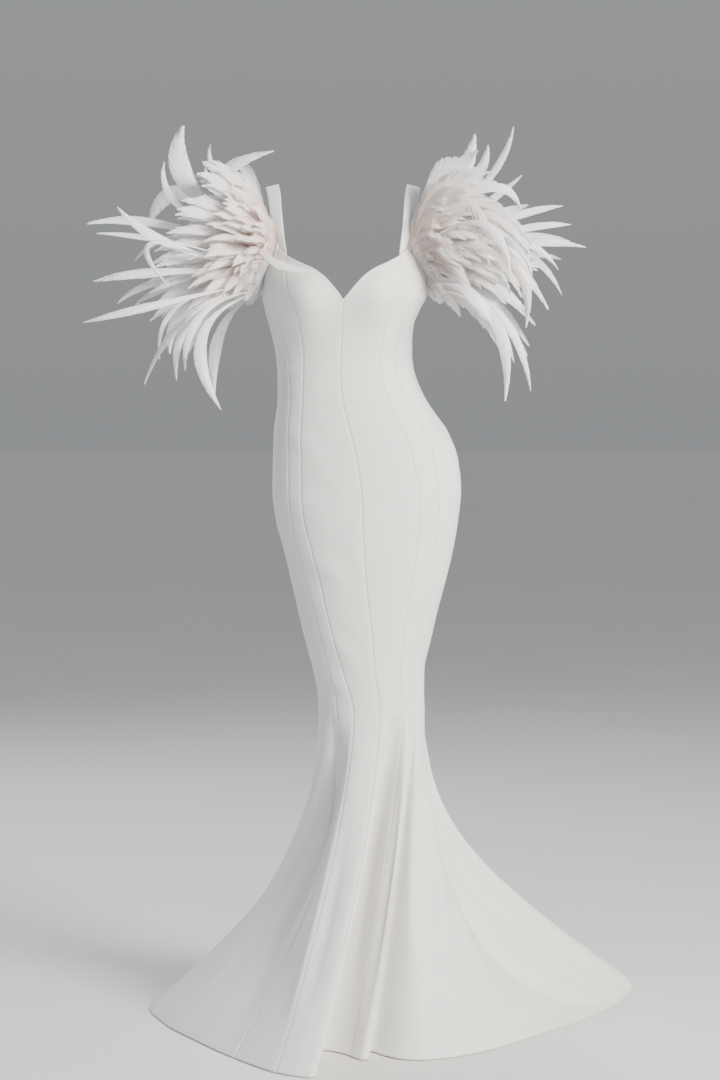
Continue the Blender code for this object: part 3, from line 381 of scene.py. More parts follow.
# Creases: drag lines at the bust, waist, hips and knees, and the long soft flutes of the
# flare. Levels are heights above the floor down to the knee, and below it they go on down
# along the cloth, so that they fall under 0 on the train.
CREASES = (
    Crease(-62.0, 1.262, -26.0, 1.236, 0.008, 0.0014, 3.0),
    Crease(-74.0, 1.226, -34.0, 1.212, 0.009, 0.0016, -3.0),
    Crease(-82.0, 1.198, -48.0, 1.182, 0.010, -0.0012, 2.0),
    Crease(66.0, 1.266, 30.0, 1.238, 0.008, 0.0014, -3.0),
    Crease(78.0, 1.236, 38.0, 1.214, 0.009, 0.0018, 3.0),
    Crease(86.0, 1.206, 52.0, 1.184, 0.010, -0.0012, 2.0),
    Crease(12.0, 1.228, -16.0, 1.216, 0.007, 0.0008, 2.0),
    Crease(104.0, 1.246, 146.0, 1.226, 0.009, 0.0018, 3.0),
    Crease(112.0, 1.214, 156.0, 1.198, 0.010, 0.0015, -3.0),
    Crease(-102.0, 1.250, -144.0, 1.230, 0.009, 0.0018, -3.0),
    Crease(-110.0, 1.216, -154.0, 1.200, 0.010, 0.0015, 3.0),
    Crease(70.0, 1.352, 52.0, 1.312, 0.008, -0.0012, 2.0),
    Crease(-72.0, 1.350, -54.0, 1.310, 0.008, -0.0012, -2.0),
    Crease(118.0, 1.350, 96.0, 1.322, 0.009, 0.0013, 2.0),
    Crease(-118.0, 1.348, -98.0, 1.320, 0.009, 0.0013, -2.0),
    Crease(70.0, 1.128, 26.0, 1.070, 0.016, 0.0016, 4.0),
    Crease(62.0, 1.050, 18.0, 1.010, 0.018, -0.0016, 4.0),
    Crease(-64.0, 1.112, -24.0, 1.052, 0.016, 0.0014, -4.0),
    Crease(-58.0, 1.020, -16.0, 0.980, 0.018, -0.0014, -4.0),
    Crease(20.0, 0.960, -14.0, 0.900, 0.020, 0.0016, 5.0),
    Crease(60.0, 0.905, 24.0, 0.838, 0.018, 0.0020, 5.0),
    Crease(-52.0, 0.880, -14.0, 0.820, 0.018, 0.0018, -5.0),
    Crease(150.0, 0.952, 104.0, 0.926, 0.014, -0.0022, 5.0),
    Crease(146.0, 0.918, 98.0, 0.884, 0.014, 0.0022, 5.0),
    Crease(-150.0, 0.950, -106.0, 0.924, 0.014, -0.0022, -5.0),
    Crease(-146.0, 0.914, -100.0, 0.880, 0.014, 0.0020, -5.0),
    Crease(158.0, 0.840, 112.0, 0.796, 0.016, 0.0020, 5.0),
    Crease(-156.0, 0.836, -112.0, 0.792, 0.016, 0.0018, -5.0),
    Crease(70.0, 0.742, 30.0, 0.694, 0.011, 0.0018, 5.0),
    Crease(62.0, 0.706, 20.0, 0.662, 0.010, -0.0016, 5.0),
    Crease(76.0, 0.664, 34.0, 0.636, 0.009, 0.0018, 4.0),
    Crease(-46.0, 0.730, -10.0, 0.686, 0.011, 0.0016, -5.0),
    Crease(-52.0, 0.690, -16.0, 0.654, 0.010, -0.0014, -4.0),
    Crease(-58.0, 0.654, -26.0, 0.630, 0.009, 0.0016, -4.0),
    Crease(164.0, 0.716, 118.0, 0.680, 0.012, 0.0022, 5.0),
    Crease(158.0, 0.672, 110.0, 0.648, 0.010, -0.0018, 4.0),
    Crease(-162.0, 0.712, -116.0, 0.676, 0.012, 0.0022, -5.0),
    Crease(-156.0, 0.668, -110.0, 0.644, 0.010, -0.0018, -4.0),
    Crease(-34.0, 0.560, -36.0, 0.020, 0.020, -0.0050, 1.5),
    Crease(-24.0, 0.540, -22.0, 0.000, 0.018, 0.0045, -1.0),
    Crease(-12.0, 0.420, -10.0, 0.000, 0.024, -0.0040, 1.0),
    Crease(4.0, 0.480, 2.0, 0.010, 0.022, 0.0035, 1.0),
    Crease(33.0, 0.500, 34.0, 0.020, 0.012, 0.0040, 0.5),
    Crease(40.0, 0.440, 40.0, 0.000, 0.014, -0.0040, 0.5),
    Crease(66.0, 0.520, 65.0, 0.010, 0.018, -0.0040, 0.6),
    Crease(72.0, 0.480, 71.0, -0.040, 0.020, 0.0050, 0.6),
    Crease(79.0, 0.520, 80.0, -0.060, 0.022, -0.0055, -1.0),
    Crease(96.0, 0.460, 96.0, -0.200, 0.022, 0.0060, 1.0),
    Crease(104.0, 0.500, 105.0, -0.240, 0.020, -0.0060, 1.0),
    Crease(116.0, 0.520, 117.0, -0.260, 0.022, -0.0060, -1.0),
    Crease(130.0, 0.520, 131.0, -0.300, 0.022, 0.0060, 1.0),
    Crease(147.0, 0.520, 148.0, -0.360, 0.022, -0.0070, 1.5),
    Crease(161.0, 0.500, 161.0, -0.380, 0.020, 0.0060, -1.5),
    Crease(174.0, 0.520, 174.0, -0.380, 0.020, -0.0060, 1.0),
    Crease(-176.0, 0.480, -175.0, -0.340, 0.020, 0.0060, 1.0),
    Crease(-162.0, 0.520, -161.0, -0.320, 0.022, -0.0060, 1.5),
    Crease(-147.0, 0.500, -147.0, -0.260, 0.022, 0.0060, -1.5),
    Crease(-132.0, 0.520, -132.0, -0.180, 0.020, -0.0060, 1.0),
    Crease(-116.0, 0.520, -116.0, -0.100, 0.020, 0.0060, 1.0),
    Crease(-98.0, 0.500, -98.0, -0.040, 0.022, -0.0055, 1.0),
    Crease(-80.0, 0.520, -79.0, 0.000, 0.022, 0.0050, -1.0),
    Crease(-64.0, 0.500, -63.0, 0.020, 0.020, -0.0045, 1.0),
)


class SmoothTable:
    """Rows of named columns, read between the rows along smooth curves."""

    def __init__(self, rows: Sequence[NamedTuple], turn: float = 0.0) -> None:
        """Sort the rows by their first column.

        Args:
            rows: Rows of one named tuple, with the key in the first column.
            turn: Length of a full turn of the key, or 0 where it doesn't come round.
        """
        found = sorted(tuple(row) for row in rows)
        if turn:
            back = [(row[0] - turn,) + row[1:] for row in found]
            ahead = [(row[0] + turn,) + row[1:] for row in found]
            found = back + found + ahead
        self.keys = [row[0] for row in found]
        self.columns = {
            name: [row[place] for row in found] for place, name in enumerate(rows[0]._fields)
        }
        self.slopes = {name: self.slopes_of(column) for name, column in self.columns.items()}

    def slopes_of(self, column: list[float]) -> list[float]:
        """Slope at each row, level where the column turns.

        Args:
            column: Values at the keys.

        Returns:
            One slope for each key.
        """
        steps = [after - before for before, after in zip(self.keys, self.keys[1:])]
        rises = [
            (after - before) / step for before, after, step in zip(column, column[1:], steps)
        ]
        slopes = [rises[0]]
        for before, after in zip(rises, rises[1:]):
            turning = before * after <= 0.0
            slopes.append(0.0 if turning else 2.0 * before * after / (before + after))
        slopes.append(rises[-1])
        return slopes

    def read(self, name: str, key: float) -> float:
        """Value of one column at a key, held level beyond the ends.

        Args:
            name: The column's name.
            key: Where to read it.

        Returns:
            The value there.
        """
        column = self.columns[name]
        if key <= self.keys[0]:
            return column[0]
        if key >= self.keys[-1]:
            return column[-1]
        row = bisect_right(self.keys, key) - 1
        step = self.keys[row + 1] - self.keys[row]
        part = (key - self.keys[row]) / step
        rest = 1.0 - part
        slopes = self.slopes[name]
        return (
            column[row] * rest * rest * (1.0 + 2.0 * part)
            + column[row + 1] * part * part * (3.0 - 2.0 * part)
            + slopes[row] * step * part * rest * rest
            - slopes[row + 1] * step * part * part * rest
        )


def mix(start: float, end: float, part: float) -> float:
    """Value part of the way from start to end."""
    return start + (end - start) * part


def arch(part: float | np.ndarray) -> float | np.ndarray:
    """Height of an arch that is 0 at both ends and 1 half way."""
    return 4.0 * part * (1.0 - part)


def hump(away: float | np.ndarray, width: float) -> float | np.ndarray:
    """Height of a soft hump, 1 in its middle and a third of that a width away."""
    return np.exp(-((away / width) ** 2))


@dataclass
class GownForm:
    """The gown's form as its solids have it, read at any place on the cloth.

    Above the knee it is a stack of half sections with two soft cups in front, and below the
    knee each line runs out to its own point of the hem.
    """

    shoulder_height: float = 1.571
    knee_height: float = 0.590
    cloth: float = 2.0 * MM
    body_rows: int = 13
    flare_rows: int = 12
    row_crowding: float = 1.2
    roundness: float = 0.85
    cup_out: float = 0.076
    cup_height: float = 1.352
    cup_depth: float = 0.024
    cup_width: float = 0.050
    cup_rise: float = 0.055
    tuck_ease: float = 2.0
    gores: int = 12
    body: SmoothTable = field(default_factory=lambda: SmoothTable(SECTIONS))
    seams: SmoothTable = field(default_factory=lambda: SmoothTable(SEAMS))
    flare: SmoothTable = field(default_factory=lambda: SmoothTable(HEM, FULL_TURN))
    neck: SmoothTable = field(default_factory=lambda: SmoothTable(NECKLINE))
    armhole: SmoothTable = field(default_factory=lambda: SmoothTable(ARMHOLE))
    back: SmoothTable = field(default_factory=lambda: SmoothTable(BACK_NECKLINE))

    def place(self, across: float, forward: float, height: float) -> Vector:
        """Point in the gown's frame from sizes measured on the standing gown."""
        return Vector((across, -forward, height - self.shoulder_height))

    def top_height(self, angle: float) -> float:
        """Height of the top edge.

        Args:
            angle: Angle round the body.

        Returns:
            Height above the floor of the neckline, strap base or armhole there.
        """
        turn = abs((angle + FULL_TURN / 2.0) % FULL_TURN - FULL_TURN / 2.0)
        if turn <= NECKLINE[-1].angle:
            return self.neck.read("height", turn)
        if turn < ARMHOLE[0].angle:
            part = (turn - NECKLINE[-1].angle) / (ARMHOLE[0].angle - NECKLINE[-1].angle)
            return mix(NECKLINE[-1].height, ARMHOLE[0].height, part)
        if turn <= ARMHOLE[-1].angle:
            return self.armhole.read("height", turn)
        if turn < BACK_NECKLINE[0].angle:
            part = (turn - ARMHOLE[-1].angle) / (BACK_NECKLINE[0].angle - ARMHOLE[-1].angle)
            return mix(ARMHOLE[-1].height, BACK_NECKLINE[0].height, part)
        return self.back.read("height", turn)

    def seam_angles(self, height: float) -> list[float]:
        """Angles of the twelve seams at a height, from the centre front round to it again."""
        row = {name: self.seams.read(name, height) for name in SeamRow._fields[1:]}
        return [
            row["centre_front"],
            row["princess_left"],
            row["side_front_left"],
            90.0,
            row["side_back"],
            row["back_princess"],
            180.0,
            FULL_TURN - row["back_princess"],
            FULL_TURN - row["side_back"],
            270.0,
            FULL_TURN + row["side_front_right"],
            FULL_TURN + row["princess_right"],
            FULL_TURN + row["centre_front"],
        ]

    def angle_at(self, girth: float, height: float) -> float:
        """Angle round the body of a place in the gores.

        Args:
            girth: Place counted in gores from the front seam by the gown's left.
            height: Height above the floor.

        Returns:
            The angle in degrees.
        """
        turns = math.floor(girth / self.gores)
        gore = math.floor(girth)
        angles = self.seam_angles(height)
        first = gore - turns * self.gores
        return mix(angles[first], angles[first + 1], girth - gore) + turns * FULL_TURN

    def body_point(self, height: float, angle: float) -> Vector:
        """Outer point of the cloth above the knee.

        Args:
            height: Height above the floor.
            angle: Angle round the body.

        Returns:
            The point in the gown's frame.
        """
        turn = math.radians(angle)
        left = self.body.read("left", height)
        right = self.body.read("right", height)
        across = (left + right) / 2.0 + (left - right) / 2.0 * math.sin(turn)
        fullness = abs(math.cos(turn)) ** self.roundness
        if math.cos(turn) < 0.0:
            return self.place(across, -self.body.read("back", height) * fullness, height)
        forward = self.body.read("front", height) * fullness
        rise = hump(height - self.cup_height, self.cup_rise)
        for side in (-1.0, 1.0):
            beside = hump(across - side * self.cup_out, self.cup_width)
            forward += self.cup_depth * rise * beside * fullness
        return self.place(across, forward, height)

    def flare_point(self, angle: float, fall: float) -> Vector:
        """Outer point of the cloth below the knee.

        Args:
            angle: Angle at the knee that the line springs from.
            fall: 0 at the knee and 1 at the hem.

        Returns:
            The point in the gown's frame.
        """
        knee = self.body_point(self.knee_height, angle)
        turn = (angle + FULL_TURN / 2.0) % FULL_TURN - FULL_TURN / 2.0
        row = {name: self.flare.read(name, turn) for name in HemRow._fields[1:]}
        hem = self.place(row["across"], row["forward"], self.cloth)
        spread = 1.0 - (1.0 - fall ** row["late"]) ** row["lie"]
        tucked = 1.0 - (1.0 - fall) ** self.tuck_ease
        run = Vector((hem.x - knee.x, hem.y - knee.y))
        dent = run.normalized() * row["dent"] * arch(fall)
        return Vector((
            knee.x + run.x * spread + row["tuck_across"] * tucked + dent.x,
            knee.y + run.y * spread - row["tuck_forward"] * tucked + dent.y,
            mix(knee.z, hem.z, fall),
        ))


class ClothLine:
    """One line of the cloth from the top edge to the hem.

    The seams turn with the height, so the top of a line is found in a few tries, from a
    first height that is about half way up the gown.
    """

    arc_steps = 60
    first_top = 1.18
    edge_tries = 12

    def __init__(self, form: GownForm, girth: float) -> None:
        """Find where the line starts, and how far it runs below the knee.

        Args:
            form: The gown's form.
            girth: The line's place in the gores.
        """
        self.form = form
        self.girth = girth
        self.top = self.first_top
        for _ in range(self.edge_tries):
            self.top = form.top_height(form.angle_at(girth, self.top))
        self.knee_angle = form.angle_at(girth, form.knee_height)
        self.falls = [step / self.arc_steps for step in range(self.arc_steps + 1)]
        points = [form.flare_point(self.knee_angle, fall) for fall in self.falls]
        self.runs = [0.0]
        for before, after in zip(points, points[1:]):
            self.runs.append(self.runs[-1] + (after - before).length)

    def read(self, row: float) -> tuple[Vector, float, float]:
        """Point, angle and level of the cloth at a row.

        Args:
            row: Row counted from the top edge, whole or between rows.

        Returns:
            The point, its angle round the body, and its level: the height above the
            floor down to the knee, and from there on down along the cloth.
        """
        form = self.form
        if row <= form.body_rows:
            part = max(row / form.body_rows, 0.0) ** form.row_crowding
            height = mix(self.top, form.knee_height, part)
            angle = form.angle_at(self.girth, height)
            return form.body_point(height, angle), angle, height
        run = min((row - form.body_rows) / form.flare_rows, 1.0) * self.runs[-1]
        step = max(min(bisect_right(self.runs, run), self.arc_steps) - 1, 0)
        part = (run - self.runs[step]) / (self.runs[step + 1] - self.runs[step])
        fall = mix(self.falls[step], self.falls[step + 1], part)
        point = form.flare_point(self.knee_angle, fall)
        return point, self.knee_angle, form.knee_height - run


def curve_through(points: list[Vector], steps: int) -> list[Vector]:
    """Points of a smooth curve through given ones.

    Args:
        points: The points that it passes.
        steps: Steps to each stretch between them.

    Returns:
        The curve's points, from the first given one to the last.
    """
    padded = [points[0] * 2.0 - points[1]] + points + [points[-1] * 2.0 - points[-2]]
    found = []
    for first, start, end, last in zip(padded, padded[1:], padded[2:], padded[3:]):
        for step in range(steps):
            part = step / steps
            found.append(
                start
                + (end - first) * (part / 2.0)
                + (first * 2.0 - start * 5.0 + end * 4.0 - last) * (part * part / 2.0)
                + (start * 3.0 - first - end * 3.0 + last) * (part**3 / 2.0)
            )
    found.append(points[-1])
    return found


def srgb(code: str) -> tuple[float, float, float, float]:
    """Linear colour of an sRGB hex code such as "#E6E4DE"."""
    parts = [int(code[place : place + 2], 16) / 255.0 for place in (1, 3, 5)]
    linear = [
        part / 12.92 if part <= 0.04045 else ((part + 0.055) / 1.055) ** 2.4 for part in parts
    ]
    return (linear[0], linear[1], linear[2], 1.0)


def add_node(
    tree: bpy.types.NodeTree, kind: str, inputs: dict | None = None, **settings: object
) -> bpy.types.Node:
    """Add a node with its settings, values and links.

    Args:
        tree: The node tree.
        kind: The node's type name.
        inputs: Values or sockets of other nodes, by input name or number.
        **settings: The node's own settings.

    Returns:
        The new node.
    """
    node = tree.nodes.new(kind)
    for name, value in settings.items():
        setattr(node, name, value)
    for name, value in (inputs or {}).items():
        if isinstance(value, bpy.types.NodeSocket):
            tree.links.new(value, node.inputs[name])
        else:
            node.inputs[name].default_value = value
    return node


def new_material(name: str) -> tuple[bpy.types.Material, bpy.types.NodeTree, bpy.types.Node]:
    """A material with nothing but a Principled shader.

    Args:
        name: The material's name.

    Returns:
        The material, its tree and the shader.
    """
    made = bpy.data.materials.new(name)
    made.use_nodes = True
    return made, made.node_tree, made.node_tree.nodes["Principled BSDF"]


@dataclass(frozen=True)
class CrepeFinish:
    """Heavy ivory crepe: a matte cloth of hard-twisted yarn with a fine pebbled face.

    It scatters light softly, with no gloss and a faint bloom at grazing angles.
    """

    name: str = "heavy_ivory_crepe"
    lit: str = "#EEEDE8"
    worn: str = "#E4E4E0"
    # Painted shade: the grey that the seam grooves and stitch troughs are darkened towards, and
    # how far.
    seam_shade: str = "#B9BABA"
    seam_shade_share: float = 0.18
    roughness: float = 0.62
    specular: float = 0.3
    sheen: float = 0.12
    sheen_roughness: float = 0.5
    pebble: float = 1.3 * MM
    pebble_depth: float = 0.12 * MM
    pebble_strength: float = 0.30
    slub: float = 6.0 * MM
    slub_depth: float = 0.4 * MM
    slub_strength: float = 0.20
    cloud: float = 90.0 * MM

    def dress(self) -> bpy.types.Material:
        """Make the material.

        Returns:
            The crepe, coarser than real yarn so that its grain shows in a render.
        """
        made, tree, shader = new_material(self.name)
        coords = add_node(tree, "ShaderNodeTexCoord").outputs["Object"]
        cloud = add_node(
            tree,
            "ShaderNodeTexNoise",
            {"Vector": coords, "Scale": 1.0 / self.cloud, "Detail": 3.0, "Roughness": 0.5},
        )
        tone = add_node(
            tree,
            "ShaderNodeMix",
            {"Factor": cloud.outputs["Fac"], 6: srgb(self.lit), 7: srgb(self.worn)},
            data_type="RGBA",
        )
        # Painted shade: this attribute darkens the colour towards the grey in the seam grooves and
        # stitch troughs.
        seam_shade = add_node(tree, "ShaderNodeAttribute", attribute_name="seam_shade")
        share = add_node(
            tree,
            "ShaderNodeMath",
            {0: seam_shade.outputs["Fac"], 1: self.seam_shade_share},
            operation="MULTIPLY",
        )
        colour = add_node(
            tree,
            "ShaderNodeMix",
            {"Factor": share.outputs[0], 6: tone.outputs[2], 7: srgb(self.seam_shade)},
            data_type="RGBA",
        )
        pebble = add_node(
            tree,
            "ShaderNodeTexNoise",
            {"Vector": coords, "Scale": 1.0 / self.pebble, "Detail": 2.0, "Roughness": 0.6},
        )
        slub = add_node(
            tree,
            "ShaderNodeTexNoise",
            {"Vector": coords, "Scale": 1.0 / self.slub, "Detail": 2.0, "Roughness": 0.5},
        )
        grain = add_node(
            tree,
            "ShaderNodeBump",
            {
                "Height": pebble.outputs["Fac"],
                "Strength": self.pebble_strength,
                "Distance": self.pebble_depth,
            },
        )
        relief = add_node(
            tree,
            "ShaderNodeBump",
            {
                "Height": slub.outputs["Fac"],
                "Strength": self.slub_strength,
                "Distance": self.slub_depth,
                "Normal": grain.outputs["Normal"],
            },
        )
        tree.links.new(colour.outputs[2], shader.inputs["Base Color"])
        tree.links.new(relief.outputs["Normal"], shader.inputs["Normal"])
        shader.inputs["Roughness"].default_value = self.roughness
        shader.inputs["Specular IOR Level"].default_value = self.specular
        shader.inputs["Sheen Weight"].default_value = self.sheen
        shader.inputs["Sheen Roughness"].default_value = self.sheen_roughness
        return made


@dataclass(frozen=True)
class FeatherFinish:
    """Bleached cock feather: satin barbs in fine lines, dyed blush towards the root.

    The colour paints the light that the barbs catch in streaks: white on the ridges and a
    painted shade of cool grey between them. The same grey paints shade on feathers that lie
    behind or under others, and is in part some feathers' own grey.
    """

    name: str = "bleached_feather"
    white: str = "#F6F6F5"
    # Painted light and shade: white on the barbs' ridges, this grey between them and on shaded
    # feathers; the grey is also some feathers' own colour.
    grey_and_shade: str = "#B8BDC7"
    blush: str = "#E8B29F"
    cream: str = "#F2DDCB"
    roughness: float = 0.46
    specular: float = 0.4
    sheen: float = 0.25
    lines: float = 120.0
    lines_out: float = 3.0
    line_depth: float = 0.3 * MM
    line_strength: float = 0.6
    streak: float = 1.0
    streak_from: float = 0.46
    patch: float = 26.0 * MM

    def dress(self) -> bpy.types.Material:
        """Make the material.

        Returns:
            The feather, with barbs drawn wider than real ones so that they show.
        """
        made, tree, shader = new_material(self.name)
        line = add_node(tree, "ShaderNodeUVMap", uv_map="barbs").outputs["UV"]
        along = add_node(
            tree,
            "ShaderNodeMapping",
            {"Vector": line, "Scale": (self.lines, self.lines_out, 1.0)},
        )
        streak = add_node(
            tree,
            "ShaderNodeTexNoise",
            {"Vector": along.outputs["Vector"], "Scale": 1.0, "Detail": 2.0, "Roughness": 0.6},
            noise_dimensions="2D",
        )
        coords = add_node(tree, "ShaderNodeTexCoord").outputs["Object"]
        patch = add_node(
            tree,
            "ShaderNodeTexNoise",
            {"Vector": coords, "Scale": 1.0 / self.patch, "Detail": 2.0},
        )
        shade = add_node(tree, "ShaderNodeAttribute", attribute_name="shade")
        blush = add_node(tree, "ShaderNodeAttribute", attribute_name="blush")
        # Painted light and shade: the barb streaks and each feather's shade attribute turn the
        # white towards the grey.
        streaks_and_shade = add_node(
            tree,
            "ShaderNodeMath",
            {0: streak.outputs["Fac"], 1: self.streak, 2: shade.outputs["Fac"]},
            operation="MULTIPLY_ADD",
        )
        cool = add_node(
            tree,
            "ShaderNodeMath",
            {0: streaks_and_shade.outputs[0], 1: self.streak_from},
            operation="SUBTRACT",
            use_clamp=True,
        )
        plain = add_node(
            tree,
            "ShaderNodeMix",
            {"Factor": cool.outputs[0], 6: srgb(self.white), 7: srgb(self.grey_and_shade)},
            data_type="RGBA",
        )
        warm = add_node(
            tree,
            "ShaderNodeMix",
            {"Factor": patch.outputs["Fac"], 6: srgb(self.cream), 7: srgb(self.blush)},
            data_type="RGBA",
        )
        colour = add_node(
            tree,
            "ShaderNodeMix",
            {"Factor": blush.outputs["Fac"], 6: plain.outputs[2], 7: warm.outputs[2]},
            data_type="RGBA",
        )
        relief = add_node(
            tree,
            "ShaderNodeBump",
            {
                "Height": streak.outputs["Fac"],
                "Strength": self.line_strength,
                "Distance": self.line_depth,
            },
        )
        tree.links.new(colour.outputs[2], shader.inputs["Base Color"])
        tree.links.new(relief.outputs["Normal"], shader.inputs["Normal"])
        shader.inputs["Roughness"].default_value = self.roughness
        shader.inputs["Specular IOR Level"].default_value = self.specular
        shader.inputs["Sheen Weight"].default_value = self.sheen
        return made


@dataclass(frozen=True)
class FloorFinish:
    """Matt painted studio floor, pale and all but even."""

    name: str = "matt_studio_floor"
    light: str = "#DDDCDA"
    dark: str = "#D5D4D2"
    roughness: float = 0.7
    cloud: float = 0.7

    def dress(self) -> bpy.types.Material:
        """Make the material.

        Returns:
            The floor's paint.
        """
        made, tree, shader = new_material(self.name)
        coords = add_node(tree, "ShaderNodeTexCoord").outputs["Object"]
        cloud = add_node(
            tree, "ShaderNodeTexNoise", {"Vector": coords, "Scale": 1.0 / self.cloud}
        )
        tone = add_node(
            tree,
            "ShaderNodeMix",
            {"Factor": cloud.outputs["Fac"], 6: srgb(self.light), 7: srgb(self.dark)},
            data_type="RGBA",
        )
        tree.links.new(tone.outputs[2], shader.inputs["Base Color"])
        shader.inputs["Roughness"].default_value = self.roughness
        return made


def finish_piece(
    mesh: bmesh.types.BMesh, name: str, material: bpy.types.Material
) -> bpy.types.Object:
    """Put a finished mesh in the scene as one smooth piece that rides on the gown.

    Args:
        mesh: The mesh, which is freed.
        name: The piece's name.
        material: Its finish.

    Returns:
        The new object.
    """
    data = bpy.data.meshes.new(name)
    mesh.to_mesh(data)
    mesh.free()
    data.shade_smooth()
    data.materials.append(material)
    made = bpy.data.objects.new(name, data)
    bpy.context.scene.collection.objects.link(made)
    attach(made, "root")
    return made


class ClothSheet:
    """A grid of points on a piece of cloth, columns across and rows down."""

    least_share = 0.3

    def __init__(self, points: np.ndarray) -> None:
        """Keep the points, rows by columns by three."""
        self.points = points

    def normals(self) -> np.ndarray:
        """Unit normals out of the cloth at every point."""
        down = np.gradient(self.points, axis=0)
        across = np.gradient(self.points, axis=1)
        found = np.cross(down, across)
        return found / np.linalg.norm(found, axis=2, keepdims=True)

    def runs(self, axis: int) -> np.ndarray:
        """Distance of every point from the first one of its row or column.

        Args:
            axis: 0 to measure down the columns, 1 to measure across the rows.

        Returns:
            The distances, in metres.
        """
        steps = np.linalg.norm(np.diff(self.points, axis=axis), axis=2)
        pad = ((1, 0), (0, 0)) if axis == 0 else ((0, 0), (1, 0))
        return np.cumsum(np.pad(steps, pad), axis=axis)

    def build(
        self,
        name: str,
        material: bpy.types.Material,
        slot: str,
        thickness: float,
        seam_shade: np.ndarray | None = None,
    ) -> bpy.types.Object:
        """Make the sheet a piece of cloth with a wall.

        Args:
            name: The piece's name.
            material: Its finish.
            slot: Not used.
            thickness: The wall's thickness, inwards from the points.
            seam_shade: How much painted shade darkens each point, in the seam grooves and stitch
                troughs, from 0 to 1.

        Returns:
            The piece.
        """
        rows, columns = self.points.shape[:2]
        mesh = bmesh.new()
        layer = mesh.loops.layers.uv.new("cloth")
        # Painted shade: each point's darkening in the seam grooves and stitch troughs goes to the
        # colour as an attribute.
        painted_shade_layer = mesh.verts.layers.float.new("seam_shade")
        bmesh.ops.create_grid(mesh, x_segments=columns - 1, y_segments=rows - 1, size=1.0)
        down, across = self.runs(0), self.runs(1)
        places = {}
        for vert in mesh.verts:
            column = round((vert.co.x + 1.0) / 2.0 * (columns - 1))
            row = round((1.0 - vert.co.y) / 2.0 * (rows - 1))
            places[vert] = (row, column)
        for vert, place in places.items():
            vert.co = self.points[place]
            if seam_shade is not None:
                vert[painted_shade_layer] = float(seam_shade[place])
        for face in mesh.faces:
            for loop in face.loops:
                place = places[loop.vert]
                loop[layer].uv = (across[place], -down[place])
        made = finish_piece(mesh, name, material)
        wall = made.modifiers.new("wall", "SOLIDIFY")
        wall.thickness = thickness
        wall.offset = -1.0
        wall.use_even_offset = False
        return made


